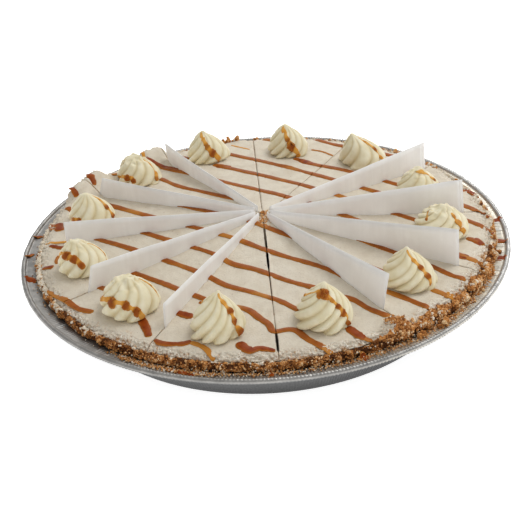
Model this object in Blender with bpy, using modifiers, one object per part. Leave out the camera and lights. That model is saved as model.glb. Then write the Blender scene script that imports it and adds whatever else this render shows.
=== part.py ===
"""Bananas foster pie in its foil tin, cut into twelve slices.

A pressed crumb crust holds a low dome of cream filling. Caramel ribbons run
over it in parallel diagonals, one piped swirl of cream stands on every slice,
and folded paper sheets stand in nine of the twelve cuts.

Metres, +Z up. The origin is the centre of the tin's underside, and the side
that faces the viewer is -Y. Angles run anticlockwise from +X seen from above.
"""

import math
import random

import bmesh
import bpy
from mathutils import Vector
from mathutils.bvhtree import BVHTree

MM = 0.001
WELD = 0.001 * MM              # points closer than this are one point

# ---- Tin ------------------------------------------------------------------
RIM_RADIUS = 130.0 * MM        # outside of the rolled bead
BEAD_RADIUS = 1.3 * MM
BEAD_HEIGHT = 27.2 * MM        # centre of the bead above the table
BASE_RADIUS = 102.0 * MM       # flat underside
WALL_TOP_RADIUS = 117.1 * MM   # outside of the sloping wall, below the flange
WALL_TOP_HEIGHT = 24.9 * MM
FLANGE_HEIGHT = 25.6 * MM      # underside of the flat flange at the wall
FOIL = 0.6 * MM                # foil wall, thick enough to stay one solid
TIN_STEPS = 48

# ---- Slices ---------------------------------------------------------------
SLICES = 12
SLICE_ANGLE = 2.0 * math.pi / SLICES
FIRST_CUT = math.radians(-88.7)
OPEN_CUT = 0                   # the cut towards the viewer stands open, without a sheet
OPEN_CUT_GAP = 0.9 * MM
SHUT_CUTS = (5, 6)             # these two have nearly shut again
SHUT_CUT_GAP = 0.5 * MM
SHEET_CUT_GAP = 1.2 * MM       # the other cuts, each round a paper sheet
TOUCH_GAP = 0.3 * MM           # between pieces that lie on one another

# ---- Crust ----------------------------------------------------------------
CRUST_FLOOR = 1.0 * MM         # underside, just above the tin's floor
CRUST_BASE_TOP = 5.5 * MM      # floor of the crust under the filling
CRUST_FOOT_RADIUS = 97.0 * MM  # where the inner wall meets that floor
CRUST_BOTTOM_RADIUS = 101.5 * MM   # outside of the wall, at the tin's floor
CRUST_WALL_RADIUS = 115.9 * MM     # outside of the wall, below the flange
# broken edge over the flange: radius, height above the flange's underside
CRUST_EDGE = ((117.7, 1.4), (122.1, 1.6), (123.0, 2.9),
              (122.4, 4.4), (120.8, 5.5), (119.6, 4.7))   # mm
CRUST_LEDGE_RADIUS = 114.2 * MM   # top of the inner wall, under the spread cream
CRUST_LEDGE_HEIGHT = 27.5 * MM
CRUST_COLUMNS = 10
CRUMB_RELIEF = 1.1 * MM
CRUST_SETTLE = 0.4 * MM        # the pie sits this far towards +X in its tin

# ---- Filling --------------------------------------------------------------
CREAM_EDGE_RADIUS = 118.8 * MM    # the cream is spread out over the crust's edge
CREAM_SHOULDER_RADIUS = 112.5 * MM   # it rolls off from here to that edge
CREAM_FOOT_RADIUS = 96.3 * MM
# roll-off at the edge: radius short of the edge, drop below the dome's edge
CREAM_ROLL = ((2.0, 0.5), (0.0, 2.4))   # mm
CREAM_LIFT = 0.5 * MM          # the spread cream lies this far above the crust
DOME_EDGE_RADIUS = 117.0 * MM
DOME_EDGE_HEIGHT = 32.9 * MM
DOME_RISE = 9.6 * MM
DOME_POWER = 0.62
FILLING_COLUMNS = 6
# cream heaped on the rim at the back left: angle and half width in degrees, height,
# and the power that makes its top flat and its ends steep
HEAPS = ((124.2, 4.6, 8.2 * MM, 6.0), (140.0, 6.0, 3.5 * MM, 2.0),
         (150.5, 7.8, 9.8 * MM, 5.0), (160.0, 5.0, 2.6 * MM, 2.0))
HEAP_FOOT_RADIUS = 110.5 * MM
HEAP_SHARES = (0.5, 1.0, 0.85)  # of its height, at the shoulder and the two points of the roll
HEAP_COLUMNS = 10              # in the slices with such a heap
FILLING_ROWS = tuple(radius * MM for radius in (12.0, 34.0, 62.0, 90.0))

# ---- Caramel --------------------------------------------------------------
RIBBON_DIRECTION = math.radians(-39.0)
RIBBON_OFFSETS = (-107.0, -92.0, -74.0, -57.5, -41.0, -25.5, -8.0,
                  11.0, 27.5, 45.5, 62.5, 77.0, 92.5, 111.0)   # mm from the centre
RIBBON_WIDTH = 3.4 * MM
RIBBON_HEIGHT = 1.1 * MM
RIBBON_SINK = 0.9 * MM
RIBBON_WOBBLE = 0.8 * MM
RIBBON_STEP = 28.0 * MM        # spacing of the sections along a ribbon
RIBBON_SHORTEST = 4.0 * MM
RIBBON_NARROWEST = 1.5 * MM    # a shred at a cut that is thinner than this is left out
RIBBON_EDGE_INSET = 2.2 * MM   # a ribbon ends this far inside the cream's edge
RIBBON_SWIRL_CLEARANCE = 0.8 * MM
RIBBON_OVERRUN = 3.0 * MM      # it runs on past the cut this far and is trimmed there
RIBBON_CUT_INSET = 0.15 * MM

# ---- Piped swirls, one a slice --------------------------------------------
# radius, shift along the rim, width, height, lean of the tip in X, twist,
# and how pointed it is, from 0 for a dome to 1 for a cone
SWIRLS = (
    (96.0, -2.0, 28.0, 20.0, -0.1, 150.0, 0.75),
    (94.0, 0.0, 27.5, 19.0, -1.3, 150.0, 0.85),
    (94.0, 4.0, 29.5, 15.0, -1.0, 150.0, 0.0),
    (90.0, -2.0, 26.0, 16.5, -1.5, 110.0, 0.15),
    (94.5, 5.0, 28.0, 18.5, -7.3, 85.0, 0.8),
    (95.0, 4.0, 26.0, 18.0, -2.3, 100.0, 0.6),
    (97.0, 3.0, 26.5, 18.2, -3.6, 100.0, 0.8),
    (98.0, 0.0, 26.0, 16.0, -3.0, 90.0, 0.0),
    (96.5, 1.5, 26.5, 16.9, -2.6, 90.0, 0.6),
    (98.0, 3.0, 26.0, 16.5, -4.0, 90.0, 0.1),
    (97.0, 1.0, 29.5, 17.0, -2.0, 80.0, 0.0),
    (98.0, -1.0, 26.5, 20.8, 0.7, 100.0, 0.9),
)                              # mm and degrees
SWIRL_RIBBON_SINK = 1.9 * MM
SWIRL_RIBBON_STEP = 4.4 * MM
SWIRL_RIBBON_INSET = 1.8 * MM  # it ends this far inside the swirl's widest ring
SWIRL_RIBBON_FOOT = 2.6 * MM   # and stays this far above the cream
SWIRL_RIBBON_SHORTEST = 8.0 * MM
SWIRL_LOBES = 9
SWIRL_GROOVE = 0.13            # groove depth as a share of the radius
# share of the height, share of the half width of a dome and of a cone
SWIRL_PROFILE = ((0.0, 0.92, 0.92), (0.13, 1.0, 0.98), (0.37, 0.91, 0.85),
                 (0.60, 0.71, 0.60), (0.80, 0.44, 0.31), (0.93, 0.20, 0.12))

# ---- Paper sheets ---------------------------------------------------------
# cut, outer radius, height above the cream, inward slope, sideways lean
PAPERS = (
    (7, 104.0, 13.0, -1.5, 1.0),
    (8, 110.0, 12.4, 7.5, 0.0),
    (9, 105.5, 12.8, 0.0, -0.6),
    (10, 105.0, 14.8, 4.5, 1.0),
    (11, 102.5, 13.0, 0.0, 0.3),
    (1, 102.5, 17.5, 0.5, 3.0),
    (2, 109.0, 20.0, 1.0, -0.6),
    (3, 109.0, 19.0, 2.0, 0.6),
    (4, 113.0, 16.5, 0.5, 0.4),
)                              # mm
PAPER_LEAF = 0.3 * MM          # one leaf of the folded sheet
PAPER_SPREAD = 0.7 * MM        # half the opening of the two leaves at the rim
PAPER_CREASE = 0.08 * MM       # half the opening near the centre
PAPER_INNER_RADIUS = 4.8 * MM
PAPER_INNER_RISE = 3.0 * MM
PAPER_FOOT = 7.0 * MM          # fold at the bottom of the cut
PAPER_CORNER_RADIUS = 97.0 * MM
PAPER_CORNER_HEIGHT = 22.0 * MM
PAPER_FORK_RISE = 2.2 * MM     # the leaves part this far above the cream
PAPER_STATIONS = (0.0, 0.16, 0.5, 0.9, 1.0)


# ---- Shared helpers -------------------------------------------------------

def polar(radius, angle, height):
    """Return the point at a radius and angle about the pie's axis."""
    return Vector((radius * math.cos(angle), radius * math.sin(angle), height))


def dome_height(radius):
    """Return the height of the cream's top at a radius."""
    share = min(radius / DOME_EDGE_RADIUS, 1.0)
    return DOME_EDGE_HEIGHT + DOME_RISE * (1.0 - share ** DOME_POWER)


def heap_height(angle):
    """Return how far the cream is heaped up on the rim at an angle."""
    height = 0.0
    for middle, half_width, rise, flatness in HEAPS:
        away = math.remainder(angle - math.radians(middle), 2.0 * math.pi)
        height += rise * math.exp(-abs(away / math.radians(half_width)) ** flatness)
    return height


def make_material(name, colour, roughness, metallic=0.0):
    """Return a new Principled material."""
    material = bpy.data.materials.new(name)
    material.use_nodes = True
    shader = material.node_tree.nodes["Principled BSDF"]
    shader.inputs["Base Color"].default_value = (*colour, 1.0)
    shader.inputs["Roughness"].default_value = roughness
    shader.inputs["Metallic"].default_value = metallic
    return material


def add_object(name, bm, collection, materials):
    """Turn a bmesh into an object in a collection and free the bmesh."""
    mesh = bpy.data.meshes.new(name)
    bm.to_mesh(mesh)
    bm.free()
    for material in materials:
        mesh.materials.append(material)
    obj = bpy.data.objects.new(name, mesh)
    collection.objects.link(obj)
    return obj


def loft(bm, sections, material_index=0):
    """Join closed sections of equal length into one solid with flat ends."""
    rings = [[bm.verts.new(point) for point in section] for section in sections]
    for ring, following in zip(rings, rings[1:]):
        for index in range(len(ring)):
            after = (index + 1) % len(ring)
            corners = (ring[index], ring[after], following[after], following[index])
            bm.faces.new(corners)
    bm.faces.new(rings[0])
    bm.faces.new(rings[-1])
    bmesh.ops.remove_doubles(bm, verts=bm.verts, dist=WELD)
    bmesh.ops.recalc_face_normals(bm, faces=bm.faces)
    for face in bm.faces:
        face.material_index = material_index


# ---- Cuts and slices ------------------------------------------------------

def cut_angle(cut):
    """Return the direction of a cut from the centre."""
    return FIRST_CUT + cut * SLICE_ANGLE


def cut_gap(cut):
    """Return the width of a cut."""
    if cut % SLICES == OPEN_CUT:
        return OPEN_CUT_GAP
    return SHUT_CUT_GAP if cut % SLICES in SHUT_CUTS else SHEET_CUT_GAP


def slice_tip(number):
    """Return radius and angle of the point where a slice's two sides meet."""
    first = cut_gap(number)
    second = cut_gap(number + 1)
    lean = math.atan2(first * math.sin(SLICE_ANGLE),
                      second + first * math.cos(SLICE_ANGLE))
    return 0.5 * first / math.sin(lean), cut_angle(number) + lean


def slice_angle(number, radius, share):
    """Return the angle a share of the way across a slice at a radius."""
    low = cut_angle(number) + math.asin(0.5 * cut_gap(number) / radius)
    high = cut_angle(number + 1) - math.asin(0.5 * cut_gap(number + 1) / radius)
    return low + share * (high - low)


def slice_sections(number, outline, columns, relief):
    """Return a (radius, height) outline swept across a slice.

    The outline's first and last points lie on the slice's tip, and relief
    gives the shift in radius and height of an outline point at an angle.
    """
    tip_radius, tip_angle = slice_tip(number)
    sections = []
    for column in range(columns + 1):
        section = [polar(tip_radius, tip_angle, outline[0][1])]
        for index, (radius, height) in enumerate(outline[1:-1], start=1):
            spread = slice_angle(number, radius, column / columns)
            outward, upward = relief(index, spread)
            radius += outward
            angle = slice_angle(number, radius, column / columns)
            section.append(polar(radius, angle, height + upward))
        section.append(polar(tip_radius, tip_angle, outline[-1][1]))
        sections.append(section)
    return sections


def cut_planes(number, inset):
    """Yield a point and the outward normal of both sides of a slice."""
    for cut, side in ((number, -1.0), (number + 1, 1.0)):
        angle = cut_angle(cut)
        normal = Vector((-math.sin(angle), math.cos(angle), 0.0)) * side
        yield -normal * (0.5 * cut_gap(cut) + inset), normal


# ---- Caramel ribbons ------------------------------------------------------

RIBBON_ALONG = Vector((math.cos(RIBBON_DIRECTION), math.sin(RIBBON_DIRECTION), 0.0))
RIBBON_ASIDE = Vector((-RIBBON_ALONG.y, RIBBON_ALONG.x, 0.0))


def ribbon_point(ribbon, along):
    """Return the plan position of a ribbon's middle."""
    wave = math.sin(along / (13.0 * MM) + 1.7 * ribbon)
    wave += math.sin(along / (29.0 * MM) + 2.9 * ribbon)
    aside = RIBBON_OFFSETS[ribbon] * MM + 0.5 * RIBBON_WOBBLE * wave
    return RIBBON_ALONG * along + RIBBON_ASIDE * aside


def ribbon_section(point, height, sink):
    """Return the rounded cross-section of a ribbon that lies at a height."""
    half = 0.5 * RIBBON_WIDTH
    shape = ((-0.8 * half, -sink), (-1.15 * half, -0.3 * RIBBON_HEIGHT),
             (-0.5 * half, RIBBON_HEIGHT), (0.5 * half, RIBBON_HEIGHT),
             (1.15 * half, -0.3 * RIBBON_HEIGHT), (0.8 * half, -sink))
    return [point + RIBBON_ASIDE * aside + Vector((0.0, 0.0, height + rise))
            for aside, rise in shape]


def ribbon_runs(ribbon, lies_here):
    """Yield the stretches (start, end) of a ribbon on which lies_here is true."""
    step = 1.0 * MM
    reach = int(RIM_RADIUS / step)
    start = None
    for count in range(-reach, reach + 1):
        along = count * step
        point = ribbon_point(ribbon, along)
        edges = [point + RIBBON_ASIDE * side * 0.5 * RIBBON_WIDTH for side in (-1.0, 0.0, 1.0)]
        here = all(lies_here(edge) for edge in edges)
        if here and start is None:
            start = along
        if not here and start is not None:
            yield start, along - step
            start = None


def ribbon_solid(ribbon, start, end, height_at, sink, step):
    """Return a bmesh of the ribbon between two places along it."""
    count = max(1, round((end - start) / step))
    sections = []
    for index in range(count + 1):
        point = ribbon_point(ribbon, start + (end - start) * index / count)
        sections.append(ribbon_section(point, height_at(point), sink))
    bm = bmesh.new()
    loft(bm, sections, material_index=1)
    return bm


def trim_to_slice(bm, number, inset):
    """Cut a closed bmesh off at both sides of a slice."""
    for point, normal in cut_planes(number, inset):
        geometry = bm.verts[:] + bm.edges[:] + bm.faces[:]
        bmesh.ops.bisect_plane(bm, geom=geometry, dist=WELD, plane_co=point,
                               plane_no=normal, clear_outer=True)
        rims = [edge for edge in bm.edges if edge.is_boundary]
        bmesh.ops.holes_fill(bm, edges=rims, sides=0)
    for face in bm.faces:
        face.material_index = 1
    bmesh.ops.recalc_face_normals(bm, faces=bm.faces)


def fuse(obj, toppings):
    """Join the bmeshes of an object's toppings to it by one union."""
    if not toppings:
        return
    group = bpy.data.collections.new(obj.name + "_toppings")
    bpy.context.scene.collection.children.link(group)
    for index, bm in enumerate(toppings):
        add_object(f"{obj.name}_topping_{index}", bm, group, obj.data.materials)
    union = obj.modifiers.new("Fuse toppings", "BOOLEAN")
    union.operation = "UNION"
    union.operand_type = "COLLECTION"
    union.collection = group
    union.solver = "EXACT"
    depsgraph = bpy.context.evaluated_depsgraph_get()
    fused = bpy.data.meshes.new_from_object(obj.evaluated_get(depsgraph))
    obj.modifiers.clear()
    obj.data = fused
    for topping in list(group.objects):
        bpy.data.objects.remove(topping)
    bpy.data.collections.remove(group)


def surface_height(tree, point):
    """Return the height of a mesh under a plan position, or None beside it."""
    above = Vector((point.x, point.y, 1.0))
    hit = tree.ray_cast(above, Vector((0.0, 0.0, -1.0)))[0]
    return hit.z if hit else None


# ---- Sub-parts ------------------------------------------------------------

def tin_profile():
    """Return the tin's section, from its floor's centre over the bead to the foot."""
    bead_middle = RIM_RADIUS - BEAD_RADIUS
    inside = [(0.0, FOIL), (BASE_RADIUS - 0.4 * MM, FOIL),
              (BASE_RADIUS + 0.5 * MM, FOIL + 0.8 * MM),
              (WALL_TOP_RADIUS - 0.5 * MM, WALL_TOP_HEIGHT + 0.4 * MM),
              (WALL_TOP_RADIUS + 0.9 * MM, FLANGE_HEIGHT + FOIL)]
    bead = []
    for degrees in (195, 140, 85, 40, 0, -45, -95, -140):
        angle = math.radians(degrees)
        bead.append((bead_middle + BEAD_RADIUS * math.cos(angle),
                     BEAD_HEIGHT + BEAD_RADIUS * math.sin(angle)))
    outside = [(WALL_TOP_RADIUS + 1.1 * MM, FLANGE_HEIGHT),
               (WALL_TOP_RADIUS, WALL_TOP_HEIGHT),
               (BASE_RADIUS + 1.1 * MM, 0.9 * MM), (BASE_RADIUS, 0.0), (0.0, 0.0)]
    return inside + bead + outside


def build_tin(collection, foil):
    """Build the pressed foil tin as a turned solid."""
    bm = bmesh.new()
    points = [bm.verts.new((radius, 0.0, height)) for radius, height in tin_profile()]
    for point, following in zip(points, points[1:]):
        bm.edges.new((point, following))
    tin = add_object("tin", bm, collection, [foil])
    turn = tin.modifiers.new("Turn", "SCREW")
    turn.axis = "Z"
    turn.steps = TIN_STEPS
    turn.render_steps = TIN_STEPS
    turn.use_merge_vertices = True
    turn.merge_threshold = 0.02 * MM
    turn.use_smooth_shade = True
    return tin


def build_crust(number, collection, crumb):
    """Build one slice of the crumb crust, its broken edge standing over the flange."""
    rng = random.Random(100 + number)
    middle = cut_angle(number) + 0.5 * SLICE_ANGLE
    settle = CRUST_SETTLE * math.cos(middle)
    outline = [(0.0, CRUST_FLOOR), (CRUST_BOTTOM_RADIUS, CRUST_FLOOR),
               (CRUST_WALL_RADIUS, WALL_TOP_HEIGHT + 0.5 * MM)]
    outline += [(radius * MM, FLANGE_HEIGHT + rise * MM) for radius, rise in CRUST_EDGE]
    outline += [(CRUST_LEDGE_RADIUS, CRUST_LEDGE_HEIGHT),
                (CRUST_FOOT_RADIUS, CRUST_BASE_TOP), (0.0, CRUST_BASE_TOP)]
    outer_face = range(4, 7)
    top = 7
    crest = 8

    def relief(index, _angle):
        if index in outer_face:
            outward = CRUMB_RELIEF * rng.uniform(-1.0, 0.7)
            return outward + settle, CRUMB_RELIEF * rng.uniform(-0.1, 0.6)
        if index == top:
            return CRUMB_RELIEF * rng.uniform(-0.4, 0.6), CRUMB_RELIEF * rng.uniform(0.0, 1.0)
        if index == crest:
            return CRUMB_RELIEF * rng.uniform(0.0, 0.4), 0.0
        return 0.0, 0.0

    bm = bmesh.new()
    loft(bm, slice_sections(number, outline, CRUST_COLUMNS, relief))
    bmesh.ops.triangulate(bm, faces=bm.faces)
    return add_object(f"crust_{number + 1:02d}", bm, collection, [crumb])


def swirl_place(number):
    """Return the plan position of the middle of a slice's swirl."""
    radius, shift = (value * MM for value in SWIRLS[number][:2])
    angle = cut_angle(number) + 0.5 * SLICE_ANGLE + shift / radius
    return polar(radius, angle, 0.0)


def build_filling(number, collection, materials):
    """Build one slice of the cream filling with its caramel ribbons."""
    heaped = max(heap_height(cut_angle(number) + share * SLICE_ANGLE)
                 for share in (0.0, 0.1, 0.9, 1.0)) > MM
    rows = [(radius, dome_height(radius)) for radius in FILLING_ROWS]
    if heaped:
        rows.append((HEAP_FOOT_RADIUS, dome_height(HEAP_FOOT_RADIUS)))
    foot = CRUST_BASE_TOP + 0.4 * MM
    shoulder = len(rows) + 1
    outline = [(0.0, dome_height(slice_tip(number)[0]))] + rows
    outline.append((CREAM_SHOULDER_RADIUS, dome_height(CREAM_SHOULDER_RADIUS)))
    outline += [(CREAM_EDGE_RADIUS - inward * MM, DOME_EDGE_HEIGHT - drop * MM)
                for inward, drop in CREAM_ROLL]
    outline += [(CRUST_LEDGE_RADIUS - 2.0 * TOUCH_GAP, CRUST_LEDGE_HEIGHT + CREAM_LIFT),
                (CREAM_FOOT_RADIUS, foot), (0.0, foot)]
    heap_shares = dict(enumerate(HEAP_SHARES, start=shoulder))

    def relief(index, angle):
        return 0.0, heap_shares.get(index, 0.0) * heap_height(angle)

    bm = bmesh.new()
    columns = HEAP_COLUMNS if heaped else FILLING_COLUMNS
    loft(bm, slice_sections(number, outline, columns, relief))
    bmesh.ops.triangulate(bm, faces=bm.faces)
    tree = BVHTree.FromBMesh(bm)
    filling = add_object(f"filling_{number + 1:02d}", bm, collection, materials)
    fuse(filling, filling_ribbons(number, tree))
    return filling


def filling_ribbons(number, tree):
    """Return the caramel ribbons on one slice, clear of its swirl."""
    swirl = swirl_place(number)
    swirl_radius = 0.5 * SWIRLS[number][2] * MM
    planes = list(cut_planes(number, 0.0))

    def lies_here(point):
        if point.length > CREAM_EDGE_RADIUS - RIBBON_EDGE_INSET:
            return False
        if (point - swirl).length < swirl_radius + RIBBON_SWIRL_CLEARANCE:
            return False
        return all((point - origin).dot(normal) < RIBBON_OVERRUN for origin, normal in planes)

    def depth(point):
        return min((origin - point).dot(normal) for origin, normal in planes)

    def height_at(point):
        return surface_height(tree, point) or dome_height(point.length)

    toppings = []
    for ribbon in range(len(RIBBON_OFFSETS)):
        for start, end in ribbon_runs(ribbon, lies_here):
            deepest = max(depth(ribbon_point(ribbon, start + (end - start) * share / 8.0))
                          for share in range(9))
            if end - start < RIBBON_SHORTEST or deepest < RIBBON_NARROWEST:
                continue
            ribbon_bm = ribbon_solid(ribbon, start, end,
                                     height_at, RIBBON_SINK, RIBBON_STEP)
            trim_to_slice(ribbon_bm, number, RIBBON_CUT_INSET)
            toppings.append(ribbon_bm)
    return toppings


def build_swirl(number, collection, materials):
    """Build one piped swirl of cream, its grooves winding up to the tip."""
    width, height, lean = (value * MM for value in SWIRLS[number][2:5])
    twist = math.radians(SWIRLS[number][5])
    spire = SWIRLS[number][6]
    place = swirl_place(number)
    columns = 2 * SWIRL_LOBES
    bm = bmesh.new()
    rings = []
    for level, (rise, dome, cone) in enumerate(SWIRL_PROFILE):
        share = dome + spire * (cone - dome)
        middle = place + Vector((lean * rise ** 2, 0.0, 0.0))
        ring = []
        for column in range(columns):
            groove = SWIRL_GROOVE if column % 2 else 0.0
            radius = 0.5 * width * share * (1.0 - groove)
            angle = 2.0 * math.pi * column / columns + twist * rise
            point = middle + polar(radius, angle, 0.0)
            foot = dome_height(point.length if level == 0 else place.length) + TOUCH_GAP
            point.z = foot + height * rise
            ring.append(bm.verts.new(point))
        rings.append(ring)
    for ring, following in zip(rings, rings[1:]):
        for column in range(columns):
            after = (column + 1) % columns
            bm.faces.new((ring[column], ring[after], following[after], following[column]))
    tip = bm.verts.new(place + Vector((lean, 0.0, dome_height(place.length) + height)))
    for column in range(columns):
        bm.faces.new((rings[-1][column], rings[-1][(column + 1) % columns], tip))
    bm.faces.new(reversed(rings[0]))
    bmesh.ops.recalc_face_normals(bm, faces=bm.faces)
    bmesh.ops.triangulate(bm, faces=bm.faces)
    tree = BVHTree.FromBMesh(bm)
    swirl = add_object(f"rosette_{number + 1:02d}", bm, collection, materials)
    fuse(swirl, swirl_ribbons(number, tree))
    return swirl


def swirl_ribbons(number, tree):
    """Return the caramel that runs over one swirl."""
    place = swirl_place(number)
    reach = 0.5 * SWIRLS[number][2] * MM - SWIRL_RIBBON_INSET
    foot = dome_height(place.length) + SWIRL_RIBBON_FOOT

    def lies_here(point):
        return (point - place).length < reach

    def height_at(point):
        return max(surface_height(tree, point) or foot, foot)

    toppings = []
    for ribbon in range(len(RIBBON_OFFSETS)):
        for start, end in ribbon_runs(ribbon, lies_here):
            if end - start > SWIRL_RIBBON_SHORTEST:
                toppings.append(ribbon_solid(ribbon, start, end, height_at,
                                             SWIRL_RIBBON_SINK, SWIRL_RIBBON_STEP))
    return toppings


def build_paper(number, collection, paper):
    """Build one folded sheet: a stem in the cut and two leaves that part above it."""
    cut = PAPERS[number][0]
    outer, rise, slope, lean = (value * MM for value in PAPERS[number][1:])
    angle = cut_angle(cut)
    along = Vector((math.cos(angle), math.sin(angle), 0.0))
    aside = Vector((-along.y, along.x, 0.0))
    inner_top = dome_height(PAPER_INNER_RADIUS) + PAPER_INNER_RISE
    outer_top = dome_height(outer) + rise
    sections = []
    for share in PAPER_STATIONS:
        radius = PAPER_INNER_RADIUS + share * (outer - PAPER_INNER_RADIUS)
        top_radius = radius - share * slope
        top = inner_top + share * (outer_top - inner_top)
        fork = min(dome_height(radius) + PAPER_FORK_RISE, top - 0.4 * MM)
        corner = max(0.0, (radius - PAPER_CORNER_RADIUS) / (outer - PAPER_CORNER_RADIUS))
        foot = PAPER_FOOT + corner * (PAPER_CORNER_HEIGHT - PAPER_FOOT)
        open_share = max(0.0, (share - PAPER_STATIONS[1]) / (1.0 - PAPER_STATIONS[1]))
        spread = max(PAPER_CREASE, PAPER_SPREAD * open_share)
        middle = lean * open_share
        tips = ((middle + spread + PAPER_LEAF, top), (middle + spread, top),
                (0.0, fork + 0.2 * MM), (middle - spread, top),
                (middle - spread - PAPER_LEAF, top))
        section = [along * radius + aside * PAPER_LEAF + Vector((0.0, 0.0, foot)),
                   along * radius + aside * PAPER_LEAF + Vector((0.0, 0.0, fork))]
        for side, height in tips:
            at_radius = radius if height < top else top_radius
            section.append(along * at_radius + aside * side + Vector((0.0, 0.0, height)))
        section.append(along * radius - aside * PAPER_LEAF + Vector((0.0, 0.0, fork)))
        section.append(along * radius - aside * PAPER_LEAF + Vector((0.0, 0.0, foot)))
        sections.append(section)
    bm = bmesh.new()
    loft(bm, sections)
    return add_object(f"paper_{number + 1:02d}", bm, collection, [paper])


def main():
    """Build the whole pie."""
    for obj in list(bpy.data.objects):
        bpy.data.objects.remove(obj)
    collection = bpy.data.collections.new("bananas_foster_pie")
    bpy.context.scene.collection.children.link(collection)
    foil = make_material("foil", (0.45, 0.46, 0.47), 0.35, metallic=1.0)
    crumb = make_material("crumb", (0.30, 0.13, 0.045), 0.85)
    cream = make_material("cream", (0.72, 0.65, 0.54), 0.6)
    piped = make_material("piped_cream", (0.80, 0.76, 0.55), 0.5)
    caramel = make_material("caramel", (0.48, 0.13, 0.035), 0.35)
    paper = make_material("paper", (0.76, 0.74, 0.72), 0.7)
    build_tin(collection, foil)
    for number in range(SLICES):
        build_crust(number, collection, crumb)
        build_filling(number, collection, [cream, caramel])
        build_swirl(number, collection, [piped, caramel])
    for number in range(len(PAPERS)):
        build_paper(number, collection, paper)


main()
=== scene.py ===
"""Looks of a bananas foster pie, dressed round its solid model.

The pie stands in a pressed foil tin. Twelve slices each have a crumb crust, a
cream filling and a piped swirl. Caramel is poured over all of them in
diagonal ribbons, and folded paper sheets stand in nine of the cuts.

Metres, +Z up, the viewer at -Y. Angles run anticlockwise from +X seen from
above, and a slice's number counts from the cut that faces the viewer.
"""

import logging
import math
import random
from collections.abc import Iterator, Sequence
from dataclasses import dataclass
from enum import Enum

import bmesh
import bpy
from mathutils import Euler, Matrix, Vector, noise
from mathutils.bvhtree import BVHTree


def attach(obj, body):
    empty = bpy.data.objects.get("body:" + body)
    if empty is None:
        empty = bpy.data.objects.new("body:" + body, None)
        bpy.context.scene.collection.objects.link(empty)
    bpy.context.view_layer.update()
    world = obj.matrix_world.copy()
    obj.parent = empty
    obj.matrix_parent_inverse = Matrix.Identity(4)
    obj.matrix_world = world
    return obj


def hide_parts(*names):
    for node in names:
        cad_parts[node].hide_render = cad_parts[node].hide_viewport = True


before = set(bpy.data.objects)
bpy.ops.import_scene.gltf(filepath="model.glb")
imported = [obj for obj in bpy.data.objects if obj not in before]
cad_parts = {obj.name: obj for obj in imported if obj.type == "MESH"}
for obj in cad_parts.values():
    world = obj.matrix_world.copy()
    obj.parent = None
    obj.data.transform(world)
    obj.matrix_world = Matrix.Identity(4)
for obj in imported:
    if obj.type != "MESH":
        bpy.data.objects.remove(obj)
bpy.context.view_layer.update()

LOG = logging.getLogger("pie")
MM = 0.001
BODY = "root"
IMAGE_SIDE = 530                # pixels, the picture is square
RIGHT_FRONT = -32.0             # degrees, where the crumbs clump most

Pair = tuple[float, float]
Outline = list[Pair]
Curve = tuple[Pair, ...]
Colour = tuple[float, float, float]
Mesh = bmesh.types.BMesh
Material = bpy.types.Material
Socket = bpy.types.NodeSocket


# ---- Small helpers ----

def ease(low: float, high: float, value: float) -> float:
    """Ease from 0 at low to 1 at high.

    Args:
        low: Value where the step starts.
        high: Value where the step ends.
        value: The value to look up.

    Returns:
        A share from 0 to 1.
    """
    share = min(max((value - low) / (high - low), 0.0), 1.0)
    return share * share * (3.0 - 2.0 * share)


def mix(first: float, second: float, share: float) -> float:
    """Return the number a share of the way from the first to the second."""
    return first + (second - first) * share


def polar(radius: float, angle: float, height: float = 0.0) -> Vector:
    """Return the point at a radius and angle about the pie's axis."""
    return Vector((radius * math.cos(angle), radius * math.sin(angle), height))


def curve(points: Sequence[Pair], value: float) -> float:
    """Read a smooth curve that goes through a few points.

    Args:
        points: Pairs of place and height, in rising order of place.
        value: The place to read.

    Returns:
        The curve's height there, held at the ends.
    """
    if value <= points[0][0]:
        return points[0][1]
    for index in range(len(points) - 1):
        (x0, y0), (x1, y1) = points[index], points[index + 1]
        if value > x1:
            continue
        before = points[max(index - 1, 0)]
        after = points[min(index + 2, len(points) - 1)]
        slope0 = (y1 - before[1]) / max(x1 - before[0], 1e-9) * (x1 - x0)
        slope1 = (after[1] - y0) / max(after[0] - x0, 1e-9) * (x1 - x0)
        t = (value - x0) / (x1 - x0)
        return (y0 * (2 * t ** 3 - 3 * t ** 2 + 1) + slope0 * (t ** 3 - 2 * t ** 2 + t)
                + y1 * (3 * t ** 2 - 2 * t ** 3) + slope1 * (t ** 3 - t ** 2))
    return points[-1][1]


def wobble(place: Vector, size: float) -> float:
    """Return a soft noise from -1 to 1 whose lumps are about as wide as size."""
    return noise.noise(place / size)


def facing(place: Vector, degrees: float = 0.0) -> float:
    """Return how far a place lies towards a direction from the axis, from -1 to 1."""
    return math.cos(math.atan2(place.y, place.x) - math.radians(degrees))


def cell_bumps(place: Vector, size: float) -> float:
    """Return a height from 0 to 1 that looks like packed round crumbs."""
    distances, _points = noise.voronoi(place / size)
    return 1.0 - min(distances[0] * 1.5, 1.0)


# ---- Where things lie on the pie ----

@dataclass(frozen=True)
class Heap:
    """Cream heaped up on the rim.

    Attributes:
        angle: Middle of the heap, in degrees.
        half_width: Half its width, in degrees.
        height: Its height.
        flatness: Power that makes its top flat and its ends steep.
        foot: Radius from which the cream climbs to it.
    """

    angle: float
    half_width: float
    height: float
    flatness: float = 2.0
    foot: float = 109.5 * MM


@dataclass(frozen=True)
class Bend:
    """A place where a caramel ribbon strays sideways from its line.

    Attributes:
        ribbon: Number of the ribbon.
        along: Place along the ribbon, in mm from its middle.
        shift: Sideways shift at that place, in mm.
        reach: Half the length of the bend, in mm.
    """

    ribbon: int
    along: float
    shift: float
    reach: float


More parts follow.
